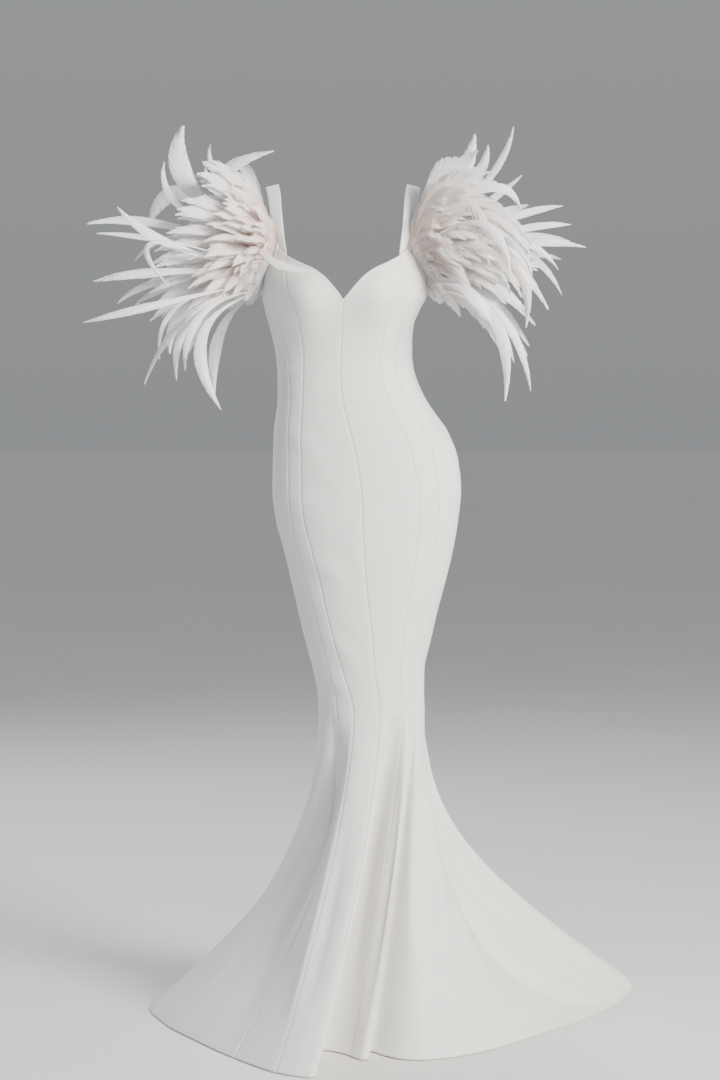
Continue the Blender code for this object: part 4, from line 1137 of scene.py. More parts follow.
@dataclass
class Gores:
    """The twelve gores, with their seams, turned top edge, hem and creases.

    Columns are counted across each gore, and body and flare steps down it. Seams are grooves
    with small puckers beside them, the top edge is rolled over a line of stitches, the hem has
    another, and each crease has a shallow trough on both sides. Painted shade darkens the
    colour in the seam grooves and along both lines of stitches.
    """

    form: GownForm
    material: bpy.types.Material
    columns: dict[str, int] = field(
        default_factory=lambda: {
            "centre_front_left": 46,
            "inner_front_left": 28,
            "outer_front_left": 38,
            "outer_back_left": 34,
            "inner_back_left": 16,
            "centre_back_left": 26,
            "centre_back_right": 26,
            "inner_back_right": 16,
            "outer_back_right": 30,
            "outer_front_right": 32,
            "inner_front_right": 20,
            "centre_front_right": 26,
        }
    )
    body_steps: int = 78
    flare_steps: int = 74
    seam_columns: tuple[float, ...] = (0.0, 0.010, 0.022, 0.040, 0.066, 0.100)
    edge_rows: tuple[float, ...] = (0.0, 0.05, 0.10, 0.16, 0.24, 0.34, 0.46, 0.60)
    hem_row: float = 0.05
    seam_width: float = 2.0 * MM
    seam_depth: float = 0.85 * MM
    pucker: float = 0.25 * MM
    pucker_length: float = 23.0 * MM
    pucker_width: float = 9.0 * MM
    edge_roll: float = 0.7 * MM
    edge_roll_width: float = 2.2 * MM
    edge_stitch: float = 7.0 * MM
    edge_stitch_width: float = 1.4 * MM
    edge_stitch_depth: float = 0.45 * MM
    edge_stitch_shade: float = 0.35
    hem_stitch: float = 26.0 * MM
    hem_stitch_width: float = 3.0 * MM
    hem_stitch_depth: float = 0.30 * MM
    hem_stitch_shade: float = 0.12
    trough_share: float = 0.45
    trough_place: float = 1.9
    crease_fade: float = 0.8

    def rows(self) -> list[float]:
        """Rows of the cloth, close together at the top edge and the hem."""
        body = self.form.body_rows
        last = body + self.form.flare_rows
        first = self.edge_rows[-1]
        inside = [mix(first, body, step / self.body_steps) for step in range(1, self.body_steps)]
        below = [mix(body, last, step / self.flare_steps) for step in range(self.flare_steps)]
        return list(self.edge_rows) + inside + below + [last - self.hem_row, float(last)]

    def parts(self, count: int) -> list[float]:
        """Parts of a gore's width, close together beside its two seams."""
        near = list(self.seam_columns)
        middle = [mix(near[-1], 1.0 - near[-1], step / count) for step in range(1, count)]
        return near + middle + [1.0 - part for part in near[::-1]]

    def relief(self, angles: np.ndarray, levels: np.ndarray, metric: np.ndarray) -> np.ndarray:
        """How far the creases stand out of the cloth.

        Args:
            angles: Angle round the body at every point, in degrees.
            levels: Level down the cloth at every point, in metres.
            metric: Metres to a degree at every point.

        Returns:
            Height above the plain cloth, in metres.
        """
        found = np.zeros_like(angles)
        half = FULL_TURN / 2.0
        for crease in CREASES:
            turned = (angles - crease.angle + half) % FULL_TURN - half
            sweep = (crease.angle_end - crease.angle + half) % FULL_TURN - half
            away = turned * metric
            along_x = sweep * metric
            along_y = crease.level_end - crease.level
            length = np.hypot(along_x, along_y)
            down = levels - crease.level
            part = np.clip((away * along_x + down * along_y) / length**2, 0.0, 1.0)
            ends = np.sin(np.pi * part) ** self.crease_fade
            beside = (away * along_y - down * along_x) / length
            beyond = (beside - crease.bow * metric * arch(part)) / crease.width
            trough = self.trough_share * hump(np.abs(beyond) - self.trough_place, 1.0)
            found += crease.depth * (hump(beyond, 1.0) - trough) * ends
        return found

    def gore(self, index: int, name: str) -> bpy.types.Object:
        """Build one gore.

        Args:
            index: The gore's place, counted from the centre front by the gown's left.
            name: Its node's name.

        Returns:
            The piece that replaces the node.
        """
        rows = self.rows()
        lines = [ClothLine(self.form, index + part) for part in self.parts(self.columns[name])]
        read = [[line.read(row) for line in lines] for row in rows]
        points = np.array([[tuple(cell[0]) for cell in row] for row in read])
        angles = np.array([[cell[1] for cell in row] for row in read])
        levels = np.array([[cell[2] for cell in row] for row in read])
        sheet = ClothSheet(points)
        span = np.linalg.norm(np.gradient(points, axis=1), axis=2)
        metric = span / np.maximum(np.abs(np.gradient(angles, axis=1)), 1e-6)
        across = sheet.runs(1)
        beside = np.minimum(across, across[:, -1:] - across)
        down = sheet.runs(0)
        above_hem = down[-1:] - down
        seam_shade = hump(beside, self.seam_width)
        stitch = hump(down - self.edge_stitch, self.edge_stitch_width)
        hem = hump(above_hem - self.hem_stitch, self.hem_stitch_width)
        ripple = np.sin(levels / self.pucker_length * 2.0 * math.pi + index)
        lift = self.relief(angles, levels, metric)
        lift -= self.seam_depth * seam_shade
        lift += self.pucker * ripple * hump(beside, self.pucker_width)
        lift += self.edge_roll * hump(down - self.edge_roll_width, self.edge_roll_width)
        lift -= self.edge_stitch_depth * stitch + self.hem_stitch_depth * hem
        raised = ClothSheet(points + sheet.normals() * lift[:, :, None])
        # Painted shade: the seam grooves and the stitch troughs at the top edge and the hem are
        # darkened in the colour.
        shade = seam_shade + self.edge_stitch_shade * stitch + self.hem_stitch_shade * hem
        near = np.clip(shade, 0.0, 1.0)
        made = raised.build(name + "_cloth", self.material, "crepe", self.form.cloth, near)
        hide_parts(name)
        return made

    def build(self) -> None:
        """Build all the gores."""
        for index, name in enumerate(self.columns):
            self.gore(index, name)


@dataclass
class Strap:
    """One wide shoulder strap of folded crepe, with the route of its tape beside it."""

    form: GownForm
    side: float
    width: float = 0.025
    inset: float = 0.01
    gap: float = 0.3 * MM
    front_gore: int = 1
    back_gore: int = 4
    reach: float = 0.02
    columns: int = 14
    steps: int = 9
    crown: float = 0.9 * MM
    crown_width: float = 1.6 * MM
    stitch: float = 4.0 * MM
    stitch_width: float = 1.0 * MM
    stitch_depth: float = 0.35 * MM
    stitch_shade: float = 0.3

    def on_side(self, girth: float) -> float:
        """Place round the body on this strap's side."""
        return girth if self.side > 0.0 else self.form.gores - girth

    def top_edge(self, girth: float) -> tuple[Vector, Vector, Vector]:
        """The cloth's top edge at one place.

        Args:
            girth: Place in the gores.

        Returns:
            The point, the way out of the cloth there, and its normal.
        """
        line = ClothLine(self.form, girth)
        point = line.read(0.0)[0]
        down = line.read(0.1)[0] - point
        after = ClothLine(self.form, girth + self.reach).read(0.0)[0]
        before = ClothLine(self.form, girth - self.reach).read(0.0)[0]
        normal = down.cross(after - before).normalized()
        return point, normal.cross(after - before).normalized(), normal

    def grid(self, columns: int, steps: int) -> tuple[list[list[Vector]], list[list[Vector]]]:
        """Lines along the strap.

        Args:
            columns: Columns across the strap.
            steps: Steps to each stretch along it.

        Returns:
            The lines, inner edge first, and their normals.
        """
        lines = []
        ends = []
        for column in range(columns + 1):
            part = column / columns
            inside = mix(self.inset, 1.0 - self.inset, part)
            front = self.top_edge(self.on_side(self.front_gore + inside))
            back = self.top_edge(self.on_side(self.back_gore + 1.0 - inside))
            points = [front[0] + front[1] * self.gap]
            for row in STRAP:
                yaw, drop = math.radians(row.yaw), math.radians(row.drop)
                wide = Vector((
                    self.side * math.cos(yaw) * math.cos(drop),
                    -math.sin(yaw) * math.cos(drop),
                    -math.sin(drop),
                ))
                middle = self.form.place(self.side * row.out, row.forward, row.height)
                points.append(middle + wide * self.width * (part - 0.5))
            points.append(back[0] + back[1] * self.gap)
            lines.append(curve_through(points, steps))
            ends.append((front[2], back[2]))
        normals = []
        for column, line in enumerate(lines):
            inward = lines[max(column - 1, 0)]
            outward = lines[min(column + 1, columns)]
            found = []
            for row in range(len(line)):
                along = line[min(row + 1, len(line) - 1)] - line[max(row - 1, 0)]
                found.append((outward[row] - inward[row]).cross(along).normalized() * self.side)
            found[0], found[-1] = ends[column]
            normals.append(found)
        return lines, normals

    def build(self, name: str, material: bpy.types.Material) -> None:
        """Build the strap, crowned across with two rows of edge stitching.

        Args:
            name: Its node's name.
            material: Its finish.
        """
        lines, normals = self.grid(self.columns, self.steps)
        if self.side > 0.0:
            lines, normals = lines[::-1], normals[::-1]
        near = np.zeros((len(lines[0]), len(lines)))
        for column, (line, facing) in enumerate(zip(lines, normals)):
            edge = min(column, self.columns - column) / self.columns * self.width
            stitch = float(hump(edge - self.stitch, self.stitch_width))
            fallen = self.crown * float(hump(edge, self.crown_width)) + self.stitch_depth * stitch
            lines[column] = [point - normal * fallen for point, normal in zip(line, facing)]
            # Painted shade: the two stitch troughs are darkened in the colour.
            near[:, column] = self.stitch_shade * stitch
        points = np.array([[tuple(point) for point in row] for row in zip(*lines)])
        made = ClothSheet(points).build(name + "_cloth", material, "strap", self.form.cloth, near)
        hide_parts(name)


class Tape:
    """Narrow tape along an armhole, with seats on it for the feathers."""

    seats = 40
    width = 4.0 * MM
    thickness = 2.6 * MM
    clearance = 0.7 * MM
    corner = 3.0 * MM
    corner_girth = 0.06
    up_strap = 0.042
    edge_stations = 14
    steps = 6
    strap_columns = 3
    strap_steps = 3
    sides = 8

    def __init__(self, strap: Strap) -> None:
        """Space stations evenly along the armhole's route.

        Args:
            strap: The strap of the same side.
        """
        self.strap = strap
        self.side = strap.side
        route = self.route()
        dense = curve_through([point for point, _ in route], self.steps)
        runs = [0.0]
        for before, after in zip(dense, dense[1:]):
            runs.append(runs[-1] + (after - before).length)
        self.points = []
        self.beyonds = []
        for step in range(self.seats + 1):
            run = runs[-1] * step / self.seats
            found = min(max(bisect_right(runs, run) - 1, 0), len(dense) - 2)
            part = (run - runs[found]) / (runs[found + 1] - runs[found])
            self.points.append(dense[found].lerp(dense[found + 1], part))
            between = (found + part) / self.steps
            station = min(int(between), len(route) - 2)
            beyond = route[station][1].lerp(route[station + 1][1], between - station)
            self.beyonds.append(beyond.normalized())

    def beside_strap(self, stations: list[tuple[Vector, Vector]]) -> list[tuple[Vector, Vector]]:
        """The stations up one end of the strap, from its lowest free one to the tape's end."""
        kept = []
        run = 0.0
        for before, after in zip(stations, stations[1:]):
            run += (after[0] - before[0]).length
            if self.corner < run < self.up_strap:
                kept.append(after)
        return kept

    def route(self) -> list[tuple[Vector, Vector]]:
        """Stations from the front strap round the underarm to the back strap."""
        away = self.clearance + self.width / 2.0
        half = self.strap.form.cloth / 2.0
        lines, normals = self.strap.grid(self.strap_columns, self.strap_steps)
        edge = lines[-1]
        stations = []
        for row, (point, normal) in enumerate(zip(edge, normals[-1])):
            along = edge[min(row + 1, len(edge) - 1)] - edge[max(row - 1, 0)]
            beyond = along.cross(normal).normalized() * self.side
            stations.append((point + beyond * away - normal * half, beyond))
        route = self.beside_strap(stations)[::-1]
        first = self.strap.front_gore + 1.0 + self.corner_girth
        last = self.strap.back_gore - self.corner_girth
        for step in range(self.edge_stations + 1):
            girth = self.strap.on_side(mix(first, last, step / self.edge_stations))
            point, beyond, normal = self.strap.top_edge(girth)
            route.append((point + beyond * away - normal * half, beyond))
        return route + self.beside_strap(stations[::-1])

    def seat(self, place: float) -> tuple[Vector, Vector, Vector, Vector]:
        """A seat on the tape's outer side.

        Args:
            place: Its place, counted in seats from the front strap.

        Returns:
            The middle of the seat, and its axes: along, wide and out.
        """
        number = min(max(int(place), 0), self.seats - 1)
        start, end = self.points[number], self.points[number + 1]
        along = (end - start).normalized()
        wide = self.beyonds[number] + self.beyonds[number + 1]
        wide = (wide - along * wide.dot(along)).normalized()
        out = along.cross(wide) * self.side
        middle = start.lerp(end, min(max(place - number, 0.0), 1.0))
        return middle + out * self.thickness / 2.0, along, wide, out

    def build(self, name: str, material: bpy.types.Material) -> bpy.types.Object:
        """Build the tape as one rounded bar.

        Args:
            name: The piece's name.
            material: Its finish.

        Returns:
            The piece.
        """
        mesh = bmesh.new()
        mesh.loops.layers.uv.new("barbs")
        rim = bmesh.ops.create_circle(
            mesh, cap_ends=True, segments=self.sides, radius=1.0
        )["verts"]
        face = next(iter(mesh.faces))
        rounds = [(vert.co.x, vert.co.y) for vert in rim]
        for station in range(self.seats + 1):
            if station:
                grown = bmesh.ops.extrude_discrete_faces(mesh, faces=[face])
                face = grown["faces"][0]
                rim = list(face.verts)
            place = min(station, self.seats - 1)
            _, _, wide, out = self.seat(place + 0.5)
            for vert, (across, deep) in zip(rim, rounds):
                offset = wide * across * self.width + out * deep * self.thickness
                vert.co = self.points[station] + offset * 0.5
        open_rim = [edge for edge in mesh.edges if edge.is_boundary]
        bmesh.ops.holes_fill(mesh, edges=open_rim, sides=self.sides)
        bmesh.ops.recalc_face_normals(mesh, faces=mesh.faces)
        return finish_piece(mesh, name, material)


class VaneCut(NamedTuple):
    """How the vane of one kind of feather is cut, in shares of its length and half width.

    Each side has so many tufts of so many barbs, which lean forward by the sweep, draw
    together by the split and end unevenly by ragged. Past the bare root the vane is widest
    at one part of its length. Quill is the quill's radius in metres, and bends its joints.
    """

    tufts: int
    barbs: int
    reach: int
    sweep: float
    split: float
    ragged: float
    bare: float
    widest: float
    tip_width: float
    camber: float
    quill: float
    bends: int


VANE_CUTS = {
    Vane.COQUE: VaneCut(9, 5, 4, 0.42, 0.12, 0.05, 0.03, 0.40, 0.03, 0.20, 0.7 * MM, 14),
    Vane.HACKLE: VaneCut(17, 2, 3, 0.46, 0.34, 0.20, 0.04, 0.34, 0.03, 0.05, 0.30 * MM, 6),
    Vane.WISP: VaneCut(20, 1, 3, 0.34, 0.90, 0.34, 0.08, 0.34, 0.25, 0.10, 0.25 * MM, 5),
}

VANE_VARIETY = 5


class VaneTemplate:
    """A straight, flat feather of unit length and half width, ready to be laid on a curve.

    Its constants are shares of the length or half width, and the powers of its curves.
    """

    root_width = 0.25
    tip_curve = 1.7
    vane_end = 0.985
    quill_end = 0.97
    quill_tip = 0.15
    quill_edge = 0.01
    closing = 0.4
    closing_curve = 1.6
    fullness = 1.35
    barb_lift = 0.10

    def __init__(self, cut: VaneCut, seed: int) -> None:
        """Build the vane's two sides and the quill between them.

        Args:
            cut: How the vane is cut.
            seed: Seed of the uneven edge.
        """
        self.cut = cut
        self.chance = random.Random(seed)
        mesh = bmesh.new()
        self.lines = mesh.loops.layers.uv.new("barbs")
        self.on_quill = mesh.verts.layers.float.new("quill")
        mesh.verts.layers.float.new("blush")
        mesh.verts.layers.float.new("shade")
        for side in (-1.0, 1.0):
            for tuft in range(cut.tufts):
                self.add_tuft(mesh, side, tuft)
        self.add_quill(mesh)
        self.data = bpy.data.meshes.new("vane")
        mesh.to_mesh(self.data)
        mesh.free()
        count = len(self.data.vertices)
        places = np.empty(count * 3)
        self.data.vertices.foreach_get("co", places)
        self.places = places.reshape(-1, 3)
        quill = np.empty(count)
        self.data.attributes["quill"].data.foreach_get("value", quill)
        self.quill = quill > 0.5

    def outline(self, part: float) -> float:
        """Share of the half width that the barbs from a part of the quill reach."""
        cut = self.cut
        if part < cut.widest:
            return math.sin(math.pi / 2.0 * mix(self.root_width, 1.0, part / cut.widest))
        rest = (part - cut.widest) / (1.0 - cut.widest)
        return mix(1.0, cut.tip_width, rest**self.tip_curve)

    def add_tuft(self, mesh: bmesh.types.BMesh, side: float, tuft: int) -> None:
        """Add one tuft of barbs that cling together.

        Args:
            mesh: The mesh to add to.
            side: Side of the quill.
            tuft: The tuft's number, from the root.
        """
        cut = self.cut
        before = len(mesh.verts)
        bmesh.ops.create_grid(mesh, x_segments=cut.barbs, y_segments=cut.reach, size=1.0)
        mesh.verts.ensure_lookup_table()
        mesh.faces.ensure_lookup_table()
        lengths = [1.0 + self.chance.uniform(-1.0, 0.4) * cut.ragged for _ in range(cut.barbs + 1)]
        lean = self.chance.uniform(-0.5, 0.5) * cut.ragged
        lift = self.chance.uniform(-self.barb_lift, self.barb_lift)
        ends = {}
        for vert in mesh.verts[before:]:
            across = (vert.co.x + 1.0) / 2.0
            out = (vert.co.y + 1.0) / 2.0
            barb = round(across * cut.barbs)
            closed = cut.split * mix(cut.split * self.closing, 1.0, out**self.closing_curve)
            pulled = 0.5 + (across - 0.5) * (1.0 - closed)
            root = mix(cut.bare, self.vane_end, (tuft + pulled) / cut.tufts)
            reach = out * lengths[barb]
            along = root + (1.0 - root) * cut.sweep * reach * (1.0 + lean)
            swell = reach if reach >= 1.0 else 1.0 - (1.0 - reach) ** self.fullness
            wide = self.outline(root) * swell + self.quill_edge
            ends[vert] = (root, out)
            vert.co = Vector((side * wide, along, lift * out - cut.camber * out * out))
        offset = 0.5 if side > 0.0 else 0.0
        for face in mesh.faces[-cut.barbs * cut.reach :]:
            for loop in face.loops:
                root, out = ends[loop.vert]
                loop[self.lines].uv = (root + offset, out)
            if side < 0.0:
                face.normal_flip()

    def add_quill(self, mesh: bmesh.types.BMesh) -> None:
        """Add the tapered quill, four-sided and of unit radius."""
        before = len(mesh.verts)
        bmesh.ops.create_cone(
            mesh,
            cap_ends=True,
            segments=4,
            radius1=1.0,
            radius2=self.quill_tip,
            depth=1.0,
            matrix=Matrix.Rotation(math.radians(-90.0), 4, "X"),
        )
        mesh.verts.ensure_lookup_table()
        fresh = set(mesh.verts[before:])
        long = [
            edge
            for edge in mesh.edges
            if set(edge.verts) <= fresh and abs(edge.verts[0].co.y - edge.verts[1].co.y) > 0.5
        ]
        bmesh.ops.subdivide_edges(mesh, edges=long, cuts=self.cut.bends)
        mesh.verts.ensure_lookup_table()
        for vert in mesh.verts[before:]:
            vert[self.on_quill] = 1.0
            vert.co.y = (vert.co.y + 0.5) * self.quill_end


# Ways that the flat of a feather faces: to the front, to the back, or up behind.
FRONT_FACING = (0.0, -1.0, 0.3)
BACK_FACING = (0.0, 1.0, 0.3)
FAN_FACING = (0.0, 1.0, 0.4)


@dataclass
class Quill:
    """The curved line that one feather grows along."""

    foot: Vector
    bend: Vector
    tip: Vector
    width: float
    roll: float = 0.0
    blush: float = 0.0
    shade: float = 0.0
    facing: tuple[float, float, float] = FRONT_FACING

    def warp(self, template: VaneTemplate) -> tuple[np.ndarray, np.ndarray]:
        """Lay a template along the quill.

        Args:
            template: The straight feather.

        Returns:
            Its bent points, and the part of the length that each one is at.
        """
        foot, bend, tip = (np.array(point) for point in (self.foot, self.bend, self.tip))
        steer = bend * 2.0 - (foot + tip) / 2.0
        part = np.clip(template.places[:, 1], 0.0, 1.0)[:, None]
        rest = 1.0 - part
        middle = foot * rest * rest + steer * 2.0 * part * rest + tip * part * part
        along = (steer - foot) * rest + (tip - steer) * part
        along /= np.linalg.norm(along, axis=1, keepdims=True)
        across = np.cross(along, np.array(self.facing))
        across /= np.linalg.norm(across, axis=1, keepdims=True)
        over = np.cross(across, along)
        turn = math.radians(self.roll)
        wide = across * math.cos(turn) + over * math.sin(turn)
        high = over * math.cos(turn) - across * math.sin(turn)
        scale = np.where(template.quill, template.cut.quill, self.width / 2.0)[:, None]
        offset = wide * template.places[:, :1] + high * template.places[:, 2:]
        return middle + offset * scale, part[:, 0]


@dataclass
class FeatherTrim:
    """The feathers of one armhole: long coque blades, hackles, and wisps of down.

    Rolls and scatters are in degrees to either side. Each pair of lengths, blushes or
    shades is the least and the most of its row's value that one feather gets.
    """

    form: GownForm
    side: float
    name: str
    feathers: Sequence[Feather]
    sprays: Sequence[Spray]
    templates: dict[Vane, list[VaneTemplate]]
    material: bpy.types.Material
    seed: int
    fan: Fan = BACK_FAN
    stem: float = 1.05 * MM
    middle: tuple[float, float] = (0.15, 1.42)
    spread: float = 1.15
    near_forward: float = 0.03
    near_shade: float = 0.10
    far_shade: float = 0.40
    fan_shade: float = 0.25
    long_roll: float = 16.0
    short_roll: float = 20.0
    rise_scatter: float = 6.0
    behind_scatter: float = 8.0
    lengths: tuple[float, float] = (0.72, 1.15)
    curl: float = 0.06
    blushes: tuple[float, float] = (0.6, 1.0)
    shades: tuple[float, float] = (0.6, 1.1)
    turns_back: float = 16.0
    blush_root: float = 1.30
    blush_fade: float = 1.3
    root_shade: float = 0.55

    def __post_init__(self) -> None:
        """Lay out the tape and seed the small differences between feathers."""
        self.tape = Tape(Strap(self.form, self.side))
        self.chance = random.Random(self.seed)

    def quill_from(self, seat: tuple, bend: Vector, tip: Vector, width: float) -> Quill:
        """A quill that leaves its seat a little before it turns.

        Args:
            seat: Seat on the tape.
            bend: Point half way along.
            tip: The tip.
            width: Greatest width of the vane.

        Returns:
            The quill.
        """
        lean = seat[3] * 2.0 + (bend - seat[0]).normalized()
        foot = seat[0] + lean.normalized() * self.stem
        return Quill(foot, bend, tip, width)

    def long_quills(self) -> list[Quill]:
        """Quills of the listed feathers and of the fan behind the armhole."""

        def fall(feather: Feather) -> float:
            """How far a feather bends downwards, from -1 for straight up to 1."""
            out = feather.bend_out - self.middle[0]
            rise = feather.bend_height - self.middle[1]
            return -rise / math.hypot(out, rise) if out > 0.0 else -1.0

        found = []
        for number, row in enumerate(sorted(self.feathers, key=fall)):
            bend = self.form.place(self.side * row.bend_out, row.bend_forward, row.bend_height)
            tip = self.form.place(self.side * row.tip_out, row.tip_forward, row.tip_height)
            width = row.width * self.spread
            quill = self.quill_from(self.tape.seat(number + 0.5), bend, tip, width)
            near = row.bend_forward > self.near_forward
            quill.shade = self.near_shade if near else self.far_shade
            quill.blush = row.blush
            quill.roll = self.chance.uniform(-self.long_roll, self.long_roll)
            found.append(quill)
        fan = self.fan
        first = len(found)
        last = self.tape.seats
        for number in range(first, last):
            part = (number - first) / (last - 1 - first)
            seat = self.tape.seat(number + 0.5)
            behind = mix(fan.behind_from, fan.behind_to, part)
            aim = self.aim(mix(fan.rise_from, fan.rise_to, part), behind)
            vary = fan.variety * math.cos(math.radians(number * fan.turn))
            length = fan.length * (1.0 + vary)
            droop = Vector((0.0, 0.0, -fan.droop))
            bend = seat[0] + aim * length / 2.0 - droop
            tip = seat[0] + aim * length + droop
            quill = self.quill_from(seat, bend, tip, fan.width)
            quill.shade = self.fan_shade
            quill.roll = self.chance.uniform(-self.short_roll, self.short_roll)
            quill.facing = FAN_FACING
            found.append(quill)
        return found

    def aim(self, rise: float, behind: float) -> Vector:
        """Direction out from this side, rising and turned behind by so many degrees."""
        up, back = math.radians(rise), math.radians(behind)
        return Vector((
            self.side * math.cos(up) * math.cos(back),
            math.cos(up) * math.sin(back),
            math.sin(up),
        ))

    def spray_quills(self, spray: Spray) -> list[Quill]:
        """Quills of one spray.

        Args:
            spray: Where they stand and how they point.

        Returns:
            The quills, each a little unlike its neighbours.
        """
        found = []
        for number in range(spray.count):
            part = (number + self.chance.uniform(0.1, 0.9)) / spray.count
            seat = self.tape.seat(mix(spray.seat_from, spray.seat_to, part))
            rise = mix(spray.rise_from, spray.rise_to, part)
            rise += self.chance.uniform(-self.rise_scatter, self.rise_scatter)
            behind = mix(spray.behind_from, spray.behind_to, part)
            scatter = self.chance.uniform(-self.behind_scatter, self.behind_scatter)
            aim = self.aim(rise, behind + scatter)
            length = spray.length * self.chance.uniform(*self.lengths)
            droop = Vector((0.0, 0.0, -spray.droop))
            start = seat[0] - seat[3] * self.chance.uniform(0.0, 1.0) * MM
            curl = aim.cross(seat[3]) * length * self.chance.uniform(-self.curl, self.curl)
            bend = start + aim * length / 2.0 - droop + curl
            quill = Quill(start, bend, start + aim * length + droop, spray.width)
            quill.roll = self.chance.uniform(-self.short_roll, self.short_roll)
            quill.blush = spray.blush * self.chance.uniform(*self.blushes)
            quill.shade = spray.shade * self.chance.uniform(*self.shades)
            quill.facing = FRONT_FACING if behind < self.turns_back else BACK_FACING
            found.append(quill)
        return found

    def lay(self, mesh: bmesh.types.BMesh, quill: Quill, vane: Vane) -> None:
        """Lay one feather on its quill and add it to a piece.

        Args:
            mesh: The piece's mesh.
            quill: The feather's quill.
            vane: The kind of vane.
        """
        template = self.chance.choice(self.templates[vane])
        points, parts = quill.warp(template)
        data = template.data.copy()
        data.vertices.foreach_set("co", points.astype(np.float32).ravel())
        blush = quill.blush * np.clip(self.blush_root - parts * self.blush_fade, 0.0, 1.0)
        shade = quill.shade * mix(self.root_shade, 1.0, parts)
        for name, values in (("blush", blush), ("shade", shade)):
            data.attributes[name].data.foreach_set("value", values.astype(np.float32))
        mesh.from_mesh(data)
        bpy.data.meshes.remove(data)

    def build(self) -> None:
        """Build the trim's pieces: tape, long feathers, hackles and down."""
        node = f"feather_trim_{self.name}"
        tape = self.tape.build(f"trim_tape_{self.name}", self.material)
        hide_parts(node)
        groups = {Vane.COQUE: self.long_quills(), Vane.HACKLE: [], Vane.WISP: []}
        for spray in self.sprays:
            groups[spray.vane] += self.spray_quills(spray)
        for vane, quills in groups.items():
            mesh = bmesh.new()
            for quill in quills:
                self.lay(mesh, quill, vane)
            made = finish_piece(mesh, f"{vane.value}_{self.name}", self.material)
            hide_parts(node)
            LOG.info("%s: %d feathers, %d faces", made.name, len(quills), len(made.data.polygons))


class Lamp(NamedTuple):
    """A soft square light: where it stands, its side in metres, its watts and its tint."""

    name: str
    place: tuple[float, float, float]
    size: float
    power: float
    tint: str


LAMPS = (
    Lamp("key", (2.7, -2.7, 1.3), 1.3, 420.0, "#FFF8F0"),
    Lamp("fill", (-3.2, -2.6, 0.6), 2.4, 26.0, "#E6EFFF"),
    Lamp("rim", (-1.6, 2.8, 1.8), 1.8, 110.0, "#F1F5FF"),
)


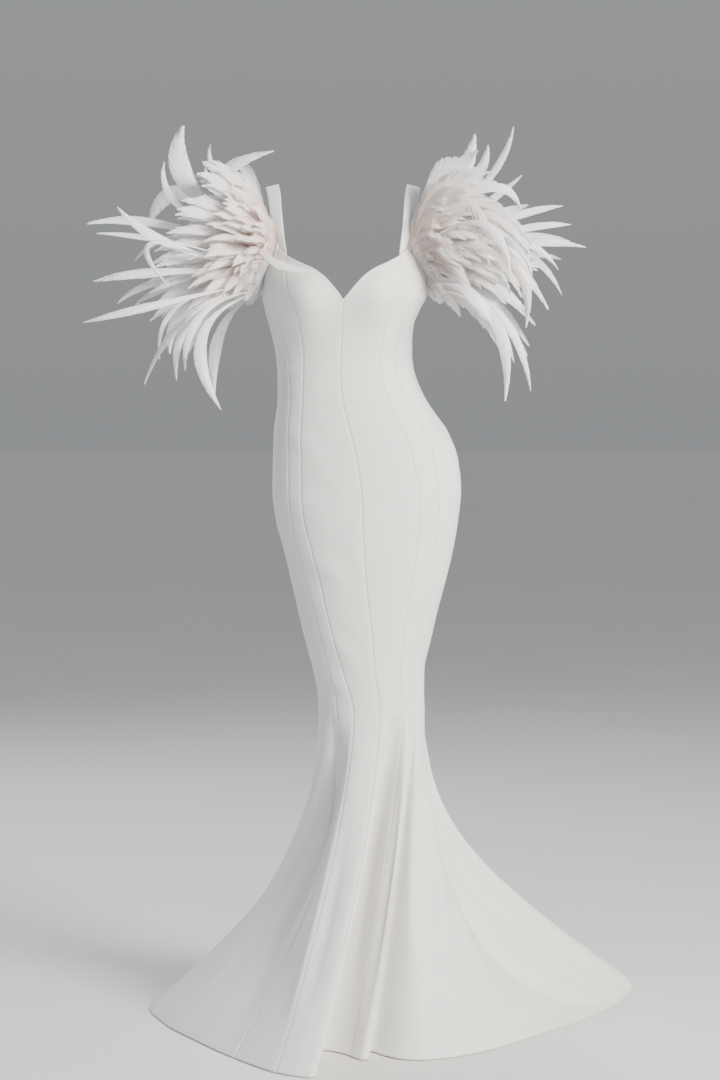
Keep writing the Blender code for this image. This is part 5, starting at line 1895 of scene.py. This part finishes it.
@dataclass(frozen=True)
class Studio:
    """Plain pale floor, soft light from the gown's front left, and camera."""

    floor_height: float = -1.571
    floor_size: float = 400.0
    lights_aim: tuple[float, float, float] = (0.0, 0.0, -0.7)
    level_sky: str = "#BFC2C6"
    high_sky: str = "#F2F5FA"
    sky_rise: float = 0.9
    sky_strength: float = 0.55
    camera_place: tuple[float, float, float] = (0.032, -4.5, -0.471)
    horizon_drop: float = 102.0
    focal_pixels: float = 2400.0
    picture_height: float = 1080.0
    sensor: float = 36.0

    def build(self, finish: FloorFinish) -> None:
        """Build the floor, the lights, the world and the camera.

        Args:
            finish: The floor's finish.
        """
        mesh = bmesh.new()
        bmesh.ops.create_grid(mesh, x_segments=1, y_segments=1, size=self.floor_size / 2.0)
        bmesh.ops.translate(mesh, verts=mesh.verts, vec=(0.0, 0.0, self.floor_height))
        data = bpy.data.meshes.new("studio_floor")
        mesh.to_mesh(data)
        mesh.free()
        data.materials.append(finish.dress())
        floor = bpy.data.objects.new("studio_floor", data)
        bpy.context.scene.collection.objects.link(floor)
        for lamp in LAMPS:
            self.light(lamp)
        self.surroundings()
        self.camera()

    def surroundings(self) -> None:
        """Set up pale surroundings, a little darker level than overhead, like a bright studio."""
        world = bpy.data.worlds.new("pale_studio")
        world.use_nodes = True
        tree = world.node_tree
        way = add_node(tree, "ShaderNodeTexCoord").outputs["Generated"]
        rise = add_node(tree, "ShaderNodeSeparateXYZ", {0: way}).outputs["Z"]
        part = add_node(
            tree, "ShaderNodeMapRange", {"Value": rise, "From Min": 0.0, "From Max": self.sky_rise}
        )
        tone = add_node(
            tree,
            "ShaderNodeMix",
            {"Factor": part.outputs[0], 6: srgb(self.level_sky), 7: srgb(self.high_sky)},
            data_type="RGBA",
        )
        sky = tree.nodes["Background"]
        tree.links.new(tone.outputs[2], sky.inputs["Color"])
        sky.inputs["Strength"].default_value = self.sky_strength
        bpy.context.scene.world = world

    def light(self, lamp: Lamp) -> None:
        """Add one light, aimed at the middle of the gown.

        Args:
            lamp: What it is and where it stands.
        """
        data = bpy.data.lights.new(lamp.name, "AREA")
        data.size = lamp.size
        data.energy = lamp.power
        data.color = srgb(lamp.tint)[:3]
        made = bpy.data.objects.new(lamp.name, data)
        made.location = lamp.place
        aim = Vector(self.lights_aim) - Vector(lamp.place)
        made.rotation_euler = aim.to_track_quat("-Z", "Y").to_euler()
        bpy.context.scene.collection.objects.link(made)

    def camera(self) -> None:
        """Set up the camera in front of the gown, at the photograph's angle to it."""
        data = bpy.data.cameras.new("view")
        data.sensor_fit = "VERTICAL"
        data.sensor_height = self.sensor
        data.lens = self.focal_pixels / self.picture_height * self.sensor
        camera = bpy.data.objects.new("view", data)
        camera.location = self.camera_place
        pitch = math.atan(self.horizon_drop / self.focal_pixels)
        camera.rotation_euler = (math.radians(90.0) - pitch, 0.0, 0.0)
        bpy.context.scene.collection.objects.link(camera)
        bpy.context.scene.camera = camera


def main() -> None:
    """Build the gown's looks piece by piece and report them."""
    logging.basicConfig(level=logging.INFO, format="%(message)s")
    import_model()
    form = GownForm()
    Gores(form, CrepeFinish().dress()).build()
    strap_crepe = CrepeFinish(name="folded_strap_crepe", lit="#F1F0EC", roughness=0.58).dress()
    feather = FeatherFinish().dress()
    templates = {
        vane: [VaneTemplate(cut, seed) for seed in range(VANE_VARIETY)]
        for vane, cut in VANE_CUTS.items()
    }
    for name, side, feathers, sprays, seed in (
        ("left", 1.0, LEFT_FEATHERS, LEFT_SPRAYS, 11),
        ("right", -1.0, RIGHT_FEATHERS, RIGHT_SPRAYS, 23),
    ):
        Strap(form, side).build(f"strap_{name}", strap_crepe)
        FeatherTrim(form, side, name, feathers, sprays, templates, feather, seed).build()
    Studio().build(FloorFinish())


if __name__ == "__main__":
    main()
